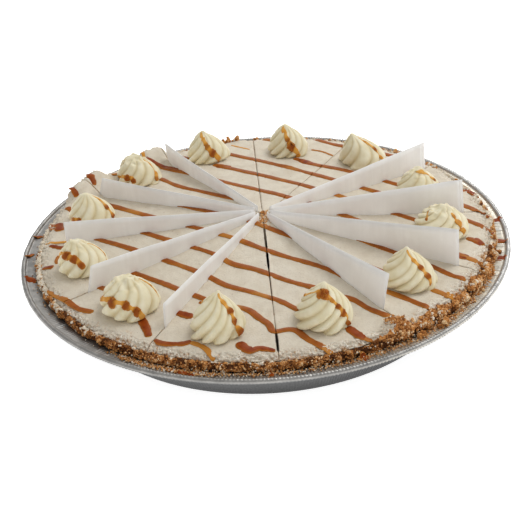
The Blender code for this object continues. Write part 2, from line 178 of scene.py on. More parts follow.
@dataclass(frozen=True)
class PieLayout:
    """The cuts, the cream's surface and the lines of the caramel ribbons."""

    slices: int = 12
    first_cut: float = math.radians(-88.7)
    open_cut: int = 0
    open_gap: float = 0.18 * MM
    open_profile: Curve = (
        (0.0, 0.30), (4.0, 0.50), (8.0, 0.95), (44.0, 1.05), (50.0, 0.55), (72.0, 0.42),
        (80.0, 0.22), (97.0, 0.24), (100.5, 0.80), (112.5, 0.80), (116.5, 0.16), (130.0, 0.14))
    dark_gap: Pair = (0.45 * MM, 0.75 * MM)
    lip_height: float = 0.45 * MM
    lip_width: float = 2.2 * MM
    lip_run: tuple[float, ...] = (12.0 * MM, 24.0 * MM, 66.0 * MM, 82.0 * MM)
    shut_cuts: tuple[int, ...] = (5, 6)
    shut_gap: float = 0.26 * MM
    sheet_gap: float = 0.45 * MM
    dome_edge_radius: float = 117.0 * MM
    dome_edge_height: float = 32.9 * MM
    dome_rise: float = 9.6 * MM
    dome_power: float = 0.62
    shoulder_radius: float = 112.5 * MM
    edge_radius: float = 118.8 * MM
    edge_height: float = 30.5 * MM
    heap_top_radius: float = 115.5 * MM
    heaps: tuple[Heap, ...] = (
        Heap(124.2, 4.6, 8.2 * MM, 6.0, 99.0 * MM),
        Heap(150.5, 7.8, 9.8 * MM, 5.0, 101.0 * MM),
        Heap(160.0, 5.0, 2.6 * MM), Heap(140.0, 6.0, 3.5 * MM), Heap(96.0, 3.0, 0.8 * MM),
        Heap(28.0, 4.0, 0.9 * MM), Heap(-50.0, 4.0, 0.8 * MM), Heap(-34.0, 3.0, 0.8 * MM),
        Heap(-60.5, 3.4, 2.5 * MM, 3.0, 107.0 * MM),
    )
    reach_line: Curve = (
        (-180.0, 122.8), (-162.0, 122.0), (-150.0, 120.4), (-136.0, 119.4), (-115.0, 119.0),
        (-90.0, 118.8), (-60.0, 118.6), (-48.0, 117.6), (-22.0, 118.0), (-8.0, 121.0),
        (30.0, 122.0), (70.0, 121.6), (140.0, 123.0), (180.0, 123.6))
    ribbon_direction: float = math.radians(-39.0)
    ribbon_offsets: tuple[float, ...] = (
        -107.0, -92.0, -74.0, -57.5, -41.0, -25.5, -8.0,
        11.0, 27.5, 45.5, 62.5, 77.0, 92.5, 111.0)
    bends: tuple[Bend, ...] = tuple(Bend(*row) for row in (
        (0, 24, -5, 6), (0, 41, 6, 9), (0, -28, -3.2, 11),
        (2, 43, 3.6, 9), (2, 64, -4, 3.8), (2, 72, 2.6, 6.5),
        (3, 22, -2.2, 12), (3, 53, 1.3, 10),
        (4, 14, -2.6, 10), (4, 64, 2.8, 12), (4, 81, 3.9, 9),
        (4, 100, 2.2, 12), (5, 54, 3.8, 22), (5, 100, 4.6, 22),
        (7, 112, -2.4, 12), (7, -90, 4.4, 14), (10, 100, -1.5, 12),
        (11, 92, -1.8, 12), (11, -20, -1.8, 14), (13, -28, -4, 18),
    ))
    ribbon_wobble: float = 0.45 * MM
    wave_height: float = 0.30 * MM
    wave_length: float = 15.0 * MM

    @property
    def slice_angle(self) -> float:
        """Angle from one cut to the next."""
        return 2.0 * math.pi / self.slices

    @property
    def ribbon_along(self) -> Vector:
        """Direction in which the caramel was poured."""
        return polar(1.0, self.ribbon_direction)

    @property
    def ribbon_aside(self) -> Vector:
        """Direction across the ribbons."""
        return polar(1.0, self.ribbon_direction + 0.5 * math.pi)

    def cut_angle(self, cut: int) -> float:
        """Return the direction of a cut from the centre."""
        return self.first_cut + cut * self.slice_angle

    def cut_gap(self, cut: int) -> float:
        """Return the width of a cut."""
        gap = self.shut_gap if cut % self.slices in self.shut_cuts else self.sheet_gap
        return self.open_gap if cut % self.slices == self.open_cut else gap

    def gap_at(self, cut: int, radius: float) -> float:
        """Find the width of a cut at a radius. The open cut gapes in two places.

        Args:
            cut: The cut.
            radius: Distance from the pie's axis.

        Returns:
            The width there.
        """
        if cut % self.slices != self.open_cut:
            return self.cut_gap(cut)
        gap = curve(self.open_profile, radius / MM) * MM
        return gap * (1.0 + 0.35 * noise.noise(Vector((radius / (2.3 * MM), 0.0, 7.0))))

    def cut_shadow(self, number: int, radius: float, share: float) -> float:
        """Find how dark a slice's side is inside the open cut.

        Args:
            number: The slice.
            radius: Distance from the pie's axis.
            share: Place across the slice, 0 at its first side and 1 at its second.

        Returns:
            From 0 for the cream's own colour to 1 for full shadow.
        """
        sides = {self.open_cut: share, (self.open_cut - 1) % self.slices: 1.0 - share}
        if sides.get(number, 1.0) > 1e-3:
            return 0.0
        return ease(*self.dark_gap, self.gap_at(self.open_cut, radius))

    def open_lip(self, number: int, place: Vector) -> float:
        """Find how far a slice's edge stands up beside the open cut.

        Args:
            number: The slice.
            place: Plan position on it.

        Returns:
            The lip's height there.
        """
        if number != self.open_cut:
            return 0.0
        radius = math.hypot(place.x, place.y)
        away = polar(1.0, self.cut_angle(number) + 0.5 * math.pi).dot(place)
        start, full, fading, end = self.lip_run
        stretch = ease(start, full, radius) * ease(end, fading, radius)
        return self.lip_height * stretch * ease(self.lip_width, 0.6 * MM, away)

    def slice_tip(self, number: int) -> Pair:
        """Find the point where a slice's sides meet.

        Args:
            number: The slice.

        Returns:
            Radius and angle of its tip.
        """
        first, second = self.cut_gap(number), self.cut_gap(number + 1)
        lean = math.atan2(first * math.sin(self.slice_angle),
                          second + first * math.cos(self.slice_angle))
        return 0.5 * first / math.sin(lean), self.cut_angle(number) + lean

    def spread(self, number: int, radius: float, share: float) -> float:
        """Find the angle a share of the way across a slice.

        Args:
            number: The slice.
            radius: Distance from the pie's axis.
            share: Place across the slice, from 0 to 1.

        Returns:
            The angle about the axis.
        """
        low, high = (math.asin(0.5 * self.gap_at(cut, radius) / radius)
                     for cut in (number, number + 1))
        return mix(self.cut_angle(number) + low, self.cut_angle(number + 1) - high, share)

    def cut_depth(self, number: int, place: Vector) -> float:
        """Return how deep inside a slice a point lies, below 0 outside it."""
        return min((origin - place).dot(normal) for origin, normal in self.cut_planes(number))

    def cut_planes(self, number: int, inset: float = 0.0) -> Iterator[tuple[Vector, Vector]]:
        """Walk over both sides of a slice.

        Args:
            number: The slice.
            inset: How far the planes lie inside its sides.

        Yields:
            A point on the side and its outward normal.
        """
        for cut, side in ((number, -1.0), (number + 1, 1.0)):
            normal = polar(side, self.cut_angle(cut) + 0.5 * math.pi)
            yield -normal * (0.5 * self.cut_gap(cut) + inset), normal

    def dome_height(self, radius: float) -> float:
        """Return the height of the cream's smooth top at a radius."""
        share = min(radius / self.dome_edge_radius, 1.0)
        return self.dome_edge_height + self.dome_rise * (1.0 - share ** self.dome_power)

    def heap_height(self, angle: float, radius: float = 1.0) -> float:
        """Find how far the cream is heaped up.

        Args:
            angle: Angle about the pie's axis.
            radius: Distance from it. The default reads the rim.

        Returns:
            The height of all heaps there.
        """
        height = 0.0
        for heap in self.heaps:
            away = math.remainder(angle - math.radians(heap.angle), 2.0 * math.pi)
            share = abs(away) / math.radians(heap.half_width)
            climb = ease(heap.foot, self.heap_top_radius, radius)
            height += climb * heap.height * math.exp(-share ** heap.flatness)
        return height

    def cream_reach(self, place: Vector) -> float:
        """Find where smeared cream ends and bare crumbs begin.

        Args:
            place: Any point in that direction.

        Returns:
            The radius of the border.
        """
        angle = math.atan2(place.y, place.x)
        around = polar(self.edge_radius, angle)
        ragged = 3.0 * wobble(around, 9.0 * MM) + 2.4 * wobble(around, 2.6 * MM)
        return (curve(self.reach_line, math.degrees(angle)) + ragged) * MM

    def cream_height(self, place: Vector) -> float:
        """Find the height of the cream's top.

        Args:
            place: Plan position.

        Returns:
            The height above the table.
        """
        radius = math.hypot(place.x, place.y)
        height = self.dome_height(radius)
        over = (radius - self.shoulder_radius) / (self.edge_radius - self.shoulder_radius)
        if over > 0.0:
            height -= (self.dome_edge_height - self.edge_height) * min(over, 1.3) ** 2.4
        return height + self.heap_height(math.atan2(place.y, place.x), radius)

    def waves(self, place: Vector) -> float:
        """Return the height of the broad waves that the spatula left."""
        return self.wave_height * wobble(place, self.wave_length)

    def ribbon_point(self, ribbon: int, along: float) -> Vector:
        """Find the plan position of a ribbon's middle.

        Args:
            ribbon: The ribbon.
            along: Distance along it from its middle.

        Returns:
            The point, at height 0.
        """
        wave = math.sin(along / (13.0 * MM) + 1.7 * ribbon)
        wave += math.sin(along / (29.0 * MM) + 2.9 * ribbon)
        aside = self.ribbon_offsets[ribbon] * MM + 0.5 * self.ribbon_wobble * wave
        for bend in self.bends:
            if bend.ribbon == ribbon:
                away = (along / MM - bend.along) / bend.reach
                aside += bend.shift * MM * math.exp(-away * away)
        return self.ribbon_along * along + self.ribbon_aside * aside


@dataclass(frozen=True)
class Gap:
    """A stretch where a ribbon is missing: its number, start and end along it in mm."""

    ribbon: int
    start: float
    end: float


GAPS = tuple(Gap(*row) for row in (
    (0, -19.5, 60), (1, -95, -36), (1, 0, 125), (2, -105, -72),
    (3, -125, -90), (3, 88, 125), (4, 103, 125), (5, -125, -104),
    (6, -135, -108), (7, -26, 0), (8, -125, -100), (11, -125, -40),
    (12, -60, 10),
))


@dataclass(frozen=True)
class Dab:
    """A loose strip of caramel on the cream.

    Attributes:
        points: Its course in plan, in mm.
        width: Its width, in mm.
        full: How thick it lies, from 0 for an amber film to 1.
    """

    points: Curve
    width: float
    full: float = 1.0


DABS = tuple(Dab(*row) for row in (
    (((-61.2, -80.2), (-59.7, -84.5), (-57.8, -90.3), (-56.3, -96.8)), 4.4),
    (((-115.6, -23.6), (-113, -25.4), (-109.6, -26.6)), 3.6),
    (((-118.4, -20.8), (-117.4, -18.3)), 3.2, 0.4),
    (((-108.3, -15.5), (-108.8, -19.5), (-108.1, -24)), 2, 0.7),
    (((-118.2, 2.2), (-112.1, -0.5), (-105.6, -1)), 2.2, 0.1),
    (((-114.6, -3), (-109.2, -6.7), (-105, -7.6)), 3.2),
    (((-118, 25.5), (-117, 21), (-115.3, 16.2)), 3.6, 0.8),
    (((-112.8, 21.5), (-112, 17), (-111.2, 12)), 5.4),
    (((-108.6, 52), (-106.5, 46.5), (-104.2, 42.2)), 4.2, 0.95),
    (((-100, 66), (-98.2, 60), (-95.4, 53.4)), 4.2, 0.95),
    (((-87.6, 72.9), (-84.7, 75.2), (-80.4, 79)), 2.4, 0.7),
    (((-71, 96.6), (-69.6, 92), (-68.2, 87.4)), 2.6, 0.2),
    (((-68.6, 88), (-62.6, 85.4), (-55.6, 82.4), (-48.6, 77.4)), 3.8),
    (((-44.2, -79.2), (-40.4, -81.7), (-36, -84.4)), 4.6),
    (((-14.1, -106.6), (-13.1, -110.8), (-10.4, -113.4), (-6, -111.9), (-2.3, -112.8),
      (1.4, -114.5)), 3.7),
    (((-14.6, -106.4), (-13.4, -109.6), (-10.6, -112.2), (-8.6, -112.6)), 4.9),
    (((35.2, -100.2), (37.2, -103.8), (39.8, -107), (42.6, -108.6)), 4.7),
    (((41, -107.9), (43.2, -108.9), (45.8, -109)), 2.8, 0.7),
    (((19.8, -111), (24, -114.2), (26.8, -116.4)), 3.5, 0.45),
    (((-110.4, -44.6), (-107.6, -49), (-103.4, -54.4), (-99, -59.2)), 3.2, 0.55),
    (((-25.1, 78.1), (-21.6, 75.9), (-17.3, 72.8)), 4.8),
    (((24, 78.1), (27.3, 74.5), (32, 70.2)), 4.8),
    (((-16.6, 109.9), (-11, 105), (-4.9, 99.7)), 1.3, 0.05),
    (((32.2, 93.1), (38.6, 89), (44.6, 81.8)), 1.7, 0.6),
    (((114.5, 33.2), (117.5, 28.8), (119.6, 24.5)), 3.4),
    (((112, 5.2), (116.5, 3.6), (120.6, 3.2)), 3.2, 0.8),
    (((110, -10.2), (114.6, -14.2), (119.6, -15.6)), 2.6, 0.8),
    (((107.5, -27.4), (109.2, -30.5), (110.9, -33.6)), 5.2),
    (((96.6, -43.2), (99, -44.6), (101.4, -46)), 5),
    (((101, -46), (104.8, -48.4), (109, -51.4)), 2.7, 0.7),
    (((84.3, -77), (87.8, -78.4), (91.2, -78.8)), 4.8, 0.35),
    (((-53.6, -99.2), (-50.8, -102), (-46.4, -103.6), (-40.2, -104), (-36.4, -102.6)),
     3.5, 0.95),
    (((-37.2, -103.2), (-33.5, -105.6), (-30.3, -108.6), (-28, -112.2), (-26.4, -115.8)),
     3.1, 0.42),
    (((-33.4, -72.6), (-31, -74.4)), 1.8, 0.8),
))


@dataclass(frozen=True)
class SwirlShape:
    """Place and form of one piped swirl.

    Attributes:
        radius: Distance from the pie's axis, in mm.
        shift: Shift along the rim, in mm.
        width: Width over the ridges, in mm.
        height: Height of the tip above the cream, in mm.
        lean: Shift of the tip in X, in mm.
        twist: Turn of the ridges from foot to tip, in degrees.
        spire: How pointed it is, from 0 for a dome to 1 for a cone.
    """

    radius: float
    shift: float
    width: float
    height: float
    lean: float
    twist: float
    spire: float


SWIRL_SHAPES = tuple(SwirlShape(*row) for row in (
    (96, -2, 28, 20, -0.1, 150, 0.75),
    (94, 0, 27.5, 19, -1.3, 150, 0.85),
    (94, 4, 29.5, 15, -1, 150, 0),
    (90, -2, 26, 16.5, -1.5, 110, 0.15),
    (94.5, 5, 28, 18.5, -7.3, 85, 0.8),
    (95, 4, 26, 18, -2.3, 100, 0.6),
    (97, 3, 26.5, 18.2, -3.6, 100, 0.8),
    (98, 0, 26, 16, -3, 90, 0),
    (96.5, 1.5, 26.5, 16.9, -2.6, 90, 0.6),
    (98, 3, 26, 16.5, -4, 90, 0.1),
    (97, 1, 29.5, 17, -2, 80, 0),
    (98, -1, 26.5, 20.8, 0.7, 100, 0.9),
))


@dataclass(frozen=True)
class Drop:
    """One place on a streak of caramel that ran over a swirl.

    Attributes:
        turn: Angle about the swirl's axis, in degrees from +X.
        rise: Share of the swirl's height.
        size: Width of the caramel there, in mm.
        full: How thick it lies, from 0 for an amber film to 1 for a drop.
    """

    turn: float
    rise: float
    size: float
    full: float = 1.0


@dataclass(frozen=True)
class Streak:
    """A streak of caramel over a swirl: the swirl's number and its drops, top first."""

    swirl: int
    drops: tuple[Drop, ...]


STREAKS = tuple(Streak(swirl, tuple(Drop(*row) for row in rows)) for swirl, rows in (
    (0, ((-193, 0.62, 2, 0.8), (-168, 0.76, 0.8, 0.2), (-132, 0.86, 0.8, 0.1), (-88, 0.84, 4.6),
         (-66, 0.76, 1.2, 0.1), (-60, 0.69, 2.2, 0.6), (-54, 0.62, 1, 0.1), (-49, 0.55, 3),
         (-45, 0.46, 1, 0.1), (-42, 0.38, 3.8), (-38, 0.28, 0.9, 0), (-37, 0.18, 2.6),
         (-36, 0.08, 2.6))),
    (1, ((-100, 0.98, 0.8, 0), (-74, 0.91, 1.2, 0), (-60, 0.76, 2.2, 0.3), (-49, 0.59, 3),
         (-40, 0.35, 3.2), (-43, 0.14, 2, 0.8))),
    (2, ((-176, 0.86, 1.8), (-165, 0.78, 1, 0.2), (-147, 0.70, 1.8, 0.8))),
    (2, ((-38, 0.85, 1.4, 0.1), (-43, 0.74, 2.6, 0.6), (-44, 0.60, 3.2, 0.45),
         (-44, 0.45, 3.4, 0.45), (-43, 0.30, 2.8, 0.4), (-42, 0.15, 1.6, 0.2))),
    (3, ((-122, 0.98, 1, 0), (-60, 0.95, 2.4, 0.1), (-28, 0.93, 2.6, 0.1),
         (-20, 0.80, 1.4, 0.2), (-18, 0.62, 2.2))),
    (4, ((-24, 0.88, 1, 0), (-27, 0.75, 1.8, 0.5), (-30, 0.53, 3), (-31, 0.28, 2.2, 0.4),
         (-32, 0.12, 1, 0))),
    (4, ((-106, 0.66, 0.5, 0), (-109, 0.63, 0.6, 0))),
    (5, ((-130, 0.97, 1.2, 0), (-95, 0.83, 3.2, 0.25), (-92, 0.72, 2, 0.1),
         (-87, 0.62, 3.6, 0.8), (-83, 0.54, 2.4, 0.2), (-79, 0.45, 4.6), (-70, 0.30, 3.2, 0.2),
         (-64, 0.14, 3.2, 0.2), (-61, 0.04, 3, 0.3))),
    (6, ((-115, 0.97, 1.2, 0), (-90, 0.82, 2.8, 0.2), (-86, 0.73, 2, 0.1),
         (-81, 0.61, 3.8, 0.75), (-76, 0.52, 2.4, 0.2), (-69, 0.41, 4.8), (-60, 0.26, 3.2, 0.2),
         (-55, 0.14, 3.4, 0.15), (-54, 0.03, 3, 0.3))),
    (7, ((-172, 0.25, 2.6, 0.8), (-160, 0.30, 2.2, 0.3), (-140, 0.42, 2, 0.1),
         (-117, 0.46, 3.4), (-98, 0.36, 3.2))),
    (7, ((5, 0.85, 0.8, 0), (-2, 0.76, 1.2, 0), (-10, 0.65, 1.8, 0.2), (-18, 0.37, 2.4, 0.3),
         (-30, 0.20, 2.6, 0.8))),
    (8, ((18, 0.85, 0.9, 0), (8, 0.70, 1.4, 0.3), (-11, 0.49, 2.8), (-14, 0.36, 1.2, 0.1),
         (-17, 0.23, 3))),
    (8, ((-163, 0.18, 2, 0.7), (-145, 0.30, 1.2, 0.1), (-134, 0.34, 2.4, 0.8),
         (-117, 0.34, 3))),
    (9, ((170, 0.26, 2.6), (175, 0.42, 1.8, 0.5), (183, 0.58, 1.4, 0), (201, 0.67, 2.2, 0.4),
         (220, 0.71, 2.4, 0.3), (234, 0.71, 4.2), (250, 0.69, 2.2, 0.2), (263, 0.65, 4),
         (280, 0.49, 3.4), (284, 0.38, 2, 0.6))),
    (9, ((25, 0.78, 1, 0), (15, 0.55, 1.4, 0.4), (10, 0.35, 2.2, 0.7), (5, 0.20, 1.6, 0.3))),
    (10, ((-190, 0.25, 2.2, 0.8), (-178, 0.42, 2.6, 0.7), (-164, 0.47, 2.8, 0.5),
         (-146, 0.54, 2.4, 0.4), (-126, 0.57, 4.8), (-106, 0.57, 2, 0.1), (-89, 0.50, 4),
         (-79, 0.42, 1.8, 0.1), (-70, 0.32, 3.8), (-63, 0.14, 2.8, 0.1), (-61, 0.03, 3, 0.4))),
    (10, ((24, 0.80, 0.9, 0), (17, 0.70, 1.2, 0.2), (11, 0.58, 1.6, 0.5), (4, 0.43, 1.6, 0.4),
         (-2, 0.25, 1.4, 0.2))),
    (11, ((-80, 0.98, 0.8, 0), (-63, 0.92, 1.2, 0), (-44, 0.78, 2.4, 0.35), (-38, 0.61, 3.4),
         (-41, 0.52, 1.2, 0.1), (-43, 0.41, 3.4), (-39, 0.28, 1.3, 0.05), (-36, 0.14, 4.4))),
    (11, ((150, 0.62, 1.4, 0.4), (160, 0.68, 1.4, 0.5))),
))


# ---- Finishes ----

class Slot(Enum):
    """The finishes, by the names of their slots."""

    FOIL = "foil"
    CRUMB = "crumb_crust"
    CREAM = "cream_filling"
    PIPED = "piped_cream"
    CARAMEL = "caramel"
    PAPER = "paper"


class Shading:
    """A Principled material whose nodes are added one by one."""

    def __init__(self, name: str, roughness: float, metallic: float = 0.0) -> None:
        """Start a material.

        Args:
            name: The material's name.
            roughness: Its roughness all over.
            metallic: Its metallic value all over.
        """
        self.material = bpy.data.materials.new(name)
        self.material.use_nodes = True
        self.tree = self.material.node_tree
        self.shader = self.tree.nodes["Principled BSDF"]
        self.set("Roughness", roughness)
        self.set("Metallic", metallic)
        self.place = self.add("ShaderNodeTexCoord").outputs["Object"]

    def add(self, kind: str, inputs: dict | None = None, **settings: object) -> bpy.types.Node:
        """Add a node.

        Args:
            kind: The kind of node.
            inputs: Values or sockets for the node's inputs, by name or number.
            settings: The node's own settings.

        Returns:
            The new node.
        """
        node = self.tree.nodes.new(kind)
        for name, value in settings.items():
            setattr(node, name, value)
        for socket, value in (inputs or {}).items():
            if isinstance(value, Socket):
                self.tree.links.new(value, node.inputs[socket])
            else:
                node.inputs[socket].default_value = value
        return node

    def set(self, socket: str, value: object) -> None:
        """Set one of the shader's own values, or link a socket to it.

        Args:
            socket: The value's name.
            value: A value or a socket.
        """
        if isinstance(value, Socket):
            self.tree.links.new(value, self.shader.inputs[socket])
        else:
            self.shader.inputs[socket].default_value = value

    def along(self, axis: str) -> Socket:
        """Return the place along X, Y or Z."""
        return self.add("ShaderNodeSeparateXYZ", {"Vector": self.place}).outputs[axis]

    def noise(self, size: float, detail: float = 2.0, place: object = None,
              distortion: float = 0.0) -> Socket:
        """Return soft noise with lumps of about a size.

        Args:
            size: Size of the lumps in metres.
            detail: How many finer layers it has.
            place: Coordinates to read, or None for the object's own.
            distortion: How much the lumps are pulled about.

        Returns:
            The noise's value, about 0.5 on average.
        """
        inputs = {"Vector": place or self.place, "Scale": 1.0 / size, "Detail": detail,
                  "Distortion": distortion}
        return self.add("ShaderNodeTexNoise", inputs).outputs[0]

    def cells(self, size: float, output: str = "Distance") -> Socket:
        """Return a pattern of packed cells of about a size."""
        inputs = {"Vector": self.place, "Scale": 1.0 / size}
        return self.add("ShaderNodeTexVoronoi", inputs).outputs[output]

    def attribute(self, name: str) -> Socket:
        """Return one of the mesh's own values."""
        return self.add("ShaderNodeAttribute", attribute_name=name).outputs["Fac"]

    def step(self, source: Socket, low: float, high: float,
             start: float = 0.0, end: float = 1.0) -> Socket:
        """Return a socket that goes from start at low to end at high."""
        inputs = {"Value": source, "From Min": low, "From Max": high,
                  "To Min": start, "To Max": end}
        return self.add("ShaderNodeMapRange", inputs).outputs[0]

    def math(self, operation: str, first: object, second: object) -> Socket:
        """Return the result of a sum on two sockets or numbers."""
        return self.add("ShaderNodeMath", {0: first, 1: second}, operation=operation).outputs[0]

    def blend(self, share: object, first: object, second: object) -> Socket:
        """Mix two colours or colour sockets.

        Args:
            share: Share of the second.
            first: The first colour.
            second: The second colour.

        Returns:
            The mixed colour.
        """
        inputs = {0: share}
        for socket, value in ((6, first), (7, second)):
            inputs[socket] = value if isinstance(value, Socket) else (*value, 1.0)
        return self.add("ShaderNodeMix", inputs, data_type="RGBA").outputs[2]

    def ramp(self, source: Socket, stops: Sequence[tuple[float, Colour]]) -> Socket:
        """Read a colour from a row of colour stops.

        Args:
            source: The value to look up, from 0 to 1.
            stops: Places and their colours.

        Returns:
            The colour.
        """
        node = self.add("ShaderNodeValToRGB", {"Fac": source})
        elements = node.color_ramp.elements
        while len(elements) < len(stops):
            elements.new(1.0)
        for element, (position, colour) in zip(elements, stops):
            element.position = position
            element.color = (*colour, 1.0)
        return node.outputs[0]

    def bump(self, height: Socket, depth: float, strength: float = 1.0) -> None:
        """Raise the surface by a height of 0 to 1, times a depth in metres."""
        inputs = {"Height": height, "Distance": depth, "Strength": strength}
        self.set("Normal", self.add("ShaderNodeBump", inputs).outputs[0])

    def soften(self, weight: float, radius: Colour, scale: float) -> None:
        """Let a share of the light go into the surface and out again beside it."""
        for name, value in (("Weight", weight), ("Radius", radius), ("Scale", scale)):
            self.set(f"Subsurface {name}", value)


@dataclass(frozen=True)
class FoilFinish:
    """Satin pressed foil, with painted light and a painted reflection of the cream on the right,
    and painted shade on the wall and under the bead.
    """

    grey: Colour = (0.29, 0.282, 0.268)
    bright: Colour = (0.43, 0.415, 0.39)
    painted_bead_light: Colour = (0.52, 0.51, 0.49)
    painted_flange_reflection: Colour = (0.78, 0.72, 0.60)
    # Painted shade on the outer wall and under the bead, darker still near the floor.
    wall: Colour = (0.165, 0.165, 0.165)
    painted_shade_at_floor: Colour = (0.040, 0.040, 0.040)
    roughness: float = 0.46
    bead_level: Pair = (26.9 * MM, 27.7 * MM)
    flange_sun: Pair = (20.0 * MM, 75.0 * MM)
    bead_sun: Pair = (60.0 * MM, 115.0 * MM)

    def material(self) -> Material:
        """Make the material.

        Returns:
            The finished material.
        """
        sheet = Shading("satin_foil", self.roughness, metallic=1.0)
        cloud = sheet.noise(5.0 * MM, 4.0)
        colour = sheet.blend(sheet.step(cloud, 0.35, 0.65), self.grey, self.bright)
        # Painted shade: the outer wall and the bead's underside, marked by under, are darker,
        # darkest near the floor.
        up_wall = sheet.step(sheet.along("Z"), 1.0 * MM, 15.0 * MM)
        side = sheet.blend(up_wall, self.painted_shade_at_floor, self.wall)
        on_bead = sheet.step(sheet.along("Z"), *self.bead_level)
        # Painted light: towards +X the bead turns paler and the flange takes a painted reflection
        # of the cream.
        lit = sheet.blend(on_bead, self.painted_flange_reflection, self.painted_bead_light)
        flange = sheet.blend(sheet.step(sheet.along("X"), *self.flange_sun), colour, lit)
        bead = sheet.blend(sheet.step(sheet.along("X"), *self.bead_sun), colour, lit)
        colour = sheet.blend(on_bead, flange, bead)
        sheet.set("Base Color", sheet.blend(sheet.attribute("under"), colour, side))
        fine = sheet.noise(0.9 * MM, 3.0)
        low, high = self.roughness - 0.06, self.roughness + 0.1
        sheet.set("Roughness", sheet.step(fine, 0.3, 0.7, low, high))
        sheet.bump(sheet.math("ADD", fine, cloud), 0.10 * MM, 0.5)
        return sheet.material


@dataclass(frozen=True)
class CreamFinish:
    """Spread cream filling with fine specks, crumbly where a mask says so."""

    cream: Colour = (0.705, 0.638, 0.520)
    shade: Colour = (0.59, 0.51, 0.395)
    white: Colour = (0.91, 0.86, 0.76)
    fleck: Colour = (0.33, 0.145, 0.055)
    speck: Colour = (0.22, 0.12, 0.06)
    crumb_dark: Colour = (0.24, 0.092, 0.028)
    crumb_light: Colour = (0.66, 0.39, 0.17)
    shadow: Colour = (0.012, 0.006, 0.003)

    def material(self) -> Material:
        """Make the material.

        Returns:
            The finished material.
        """
        sheet = Shading("cream_filling", 0.62)
        tint = sheet.noise(7.0 * MM, 3.0, distortion=0.6)
        colour = sheet.blend(sheet.step(tint, 0.40, 0.74, 0.0, 0.80), self.cream, self.shade)
        fleck = sheet.noise(1.1 * MM, 3.0)
        colour = sheet.blend(sheet.step(fleck, 0.50, 0.70, 0.0, 0.45), colour, self.shade)
        for size, near, share in ((4.4 * MM, 0.085, 0.80), (2.1 * MM, 0.12, 0.62)):
            spots = sheet.step(sheet.cells(size), near * 0.5, near, 1.0, 0.0)
            chosen = sheet.step(sheet.noise(size * 3.1, 1.0), 0.44, 0.60)
            spots = sheet.math("MULTIPLY", sheet.math("MULTIPLY", spots, chosen), share)
            colour = sheet.blend(spots, colour, self.speck)
        crumb = sheet.ramp(sheet.cells(1.1 * MM, output="Color"),
                           ((0.10, self.crumb_dark), (0.60, self.crumb_light), (0.95, self.white)))
        colour = sheet.blend(sheet.attribute("crumb"), colour, crumb)
        rim = sheet.attribute("rim")
        # Near the rim the pale chips are partly white tufts and partly painted highlight; the dark
        # chips are flecks of crumb.
        for size, tone, share in ((1.00 * MM, self.white, 0.90), (0.75 * MM, self.fleck, 0.80)):
            chips = sheet.step(sheet.noise(size, 3.0, distortion=0.4), 0.57, 0.63, 0.0, share)
            colour = sheet.blend(sheet.math("MULTIPLY", chips, rim), colour, tone)
        sheet.set("Base Color", sheet.blend(sheet.attribute("cut"), colour, self.shadow))
        drag = sheet.noise(0.9 * MM, 4.0)
        sheet.bump(drag, 0.30 * MM, 0.85)
        sheet.set("Specular IOR Level", 0.3)
        sheet.soften(0.05, (1.0, 0.75, 0.5), 1.2 * MM)
        return sheet.material


@dataclass(frozen=True)
class PipedCreamFinish:
    """Smooth whipped cream with a faint yellow tint, and painted shade in its grooves and at its
    foot.
    """

    cream: Colour = (0.765, 0.685, 0.455)
    pale: Colour = (0.85, 0.79, 0.59)
    valley: Colour = (0.60, 0.465, 0.22)

    def material(self) -> Material:
        """Make the material.

        Returns:
            The finished material.
        """
        sheet = Shading("piped_cream", 0.5)
        tint = sheet.noise(5.0 * MM, 2.0)
        colour = sheet.blend(sheet.step(tint, 0.35, 0.7), self.cream, self.pale)
        # Painted shade: the valley mark darkens the grooves and the foot.
        sheet.set("Base Color", sheet.blend(sheet.attribute("valley"), colour, self.valley))
        sheet.set("Specular IOR Level", 0.3)
        sheet.bump(sheet.noise(1.6 * MM, 3.0), 0.10 * MM, 0.5)
        sheet.soften(0.08, (1.0, 0.8, 0.5), 1.0 * MM)
        return sheet.material


@dataclass(frozen=True)
class CaramelFinish:
    """Burnt-orange caramel, amber where it lies thin."""

    thick: Colour = (0.290, 0.056, 0.006)
    deep: Colour = (0.185, 0.026, 0.003)
    amber: Colour = (0.68, 0.315, 0.050)
    stain: Colour = (0.78, 0.50, 0.17)

    def material(self) -> Material:
        """Make the material.

        Returns:
            The finished material.
        """
        sheet = Shading("caramel", 0.36)
        tint = sheet.noise(3.6 * MM, 2.0)
        colour = sheet.blend(sheet.step(tint, 0.38, 0.66, 0.0, 0.9), self.thick, self.deep)
        thin = sheet.attribute("thin")
        colour = sheet.blend(thin, colour, self.amber)
        sheet.set("Base Color", sheet.blend(sheet.step(thin, 1.0, 1.6), colour, self.stain))
        sheet.bump(sheet.noise(1.8 * MM, 2.0), 0.08 * MM, 0.5)
        sheet.set("Specular IOR Level", 0.10)
        return sheet.material


@dataclass(frozen=True)
class CrumbFinish:
    """Baked biscuit crumbs. Their tone is partly their own and partly painted shade in hollows and
    painted highlight on bumps and clods.
    """

    burnt_and_shade: Colour = (0.085, 0.028, 0.008)
    brown: Colour = (0.32, 0.115, 0.028)
    orange: Colour = (0.60, 0.265, 0.075)
    tan: Colour = (0.82, 0.55, 0.28)
    smeared: Colour = (0.80, 0.72, 0.59)

    def material(self) -> Material:
        """Make the material.

        Returns:
            The finished material.
        """
        sheet = Shading("biscuit_crumb", 0.75)
        fine = sheet.cells(0.55 * MM, output="Color")
        tone = sheet.math("ADD", sheet.attribute("tone"),
                          sheet.step(fine, 0.0, 1.0, -0.14, 0.10))
        stops = ((0.04, self.burnt_and_shade), (0.28, self.brown), (0.52, self.orange),
                 (0.76, self.tan), (0.92, self.smeared))
        sheet.set("Base Color", sheet.ramp(tone, stops))
        sheet.bump(sheet.noise(0.5 * MM, 3.0), 0.18 * MM, 0.9)
        sheet.set("Specular IOR Level", 0.15)
        return sheet.material


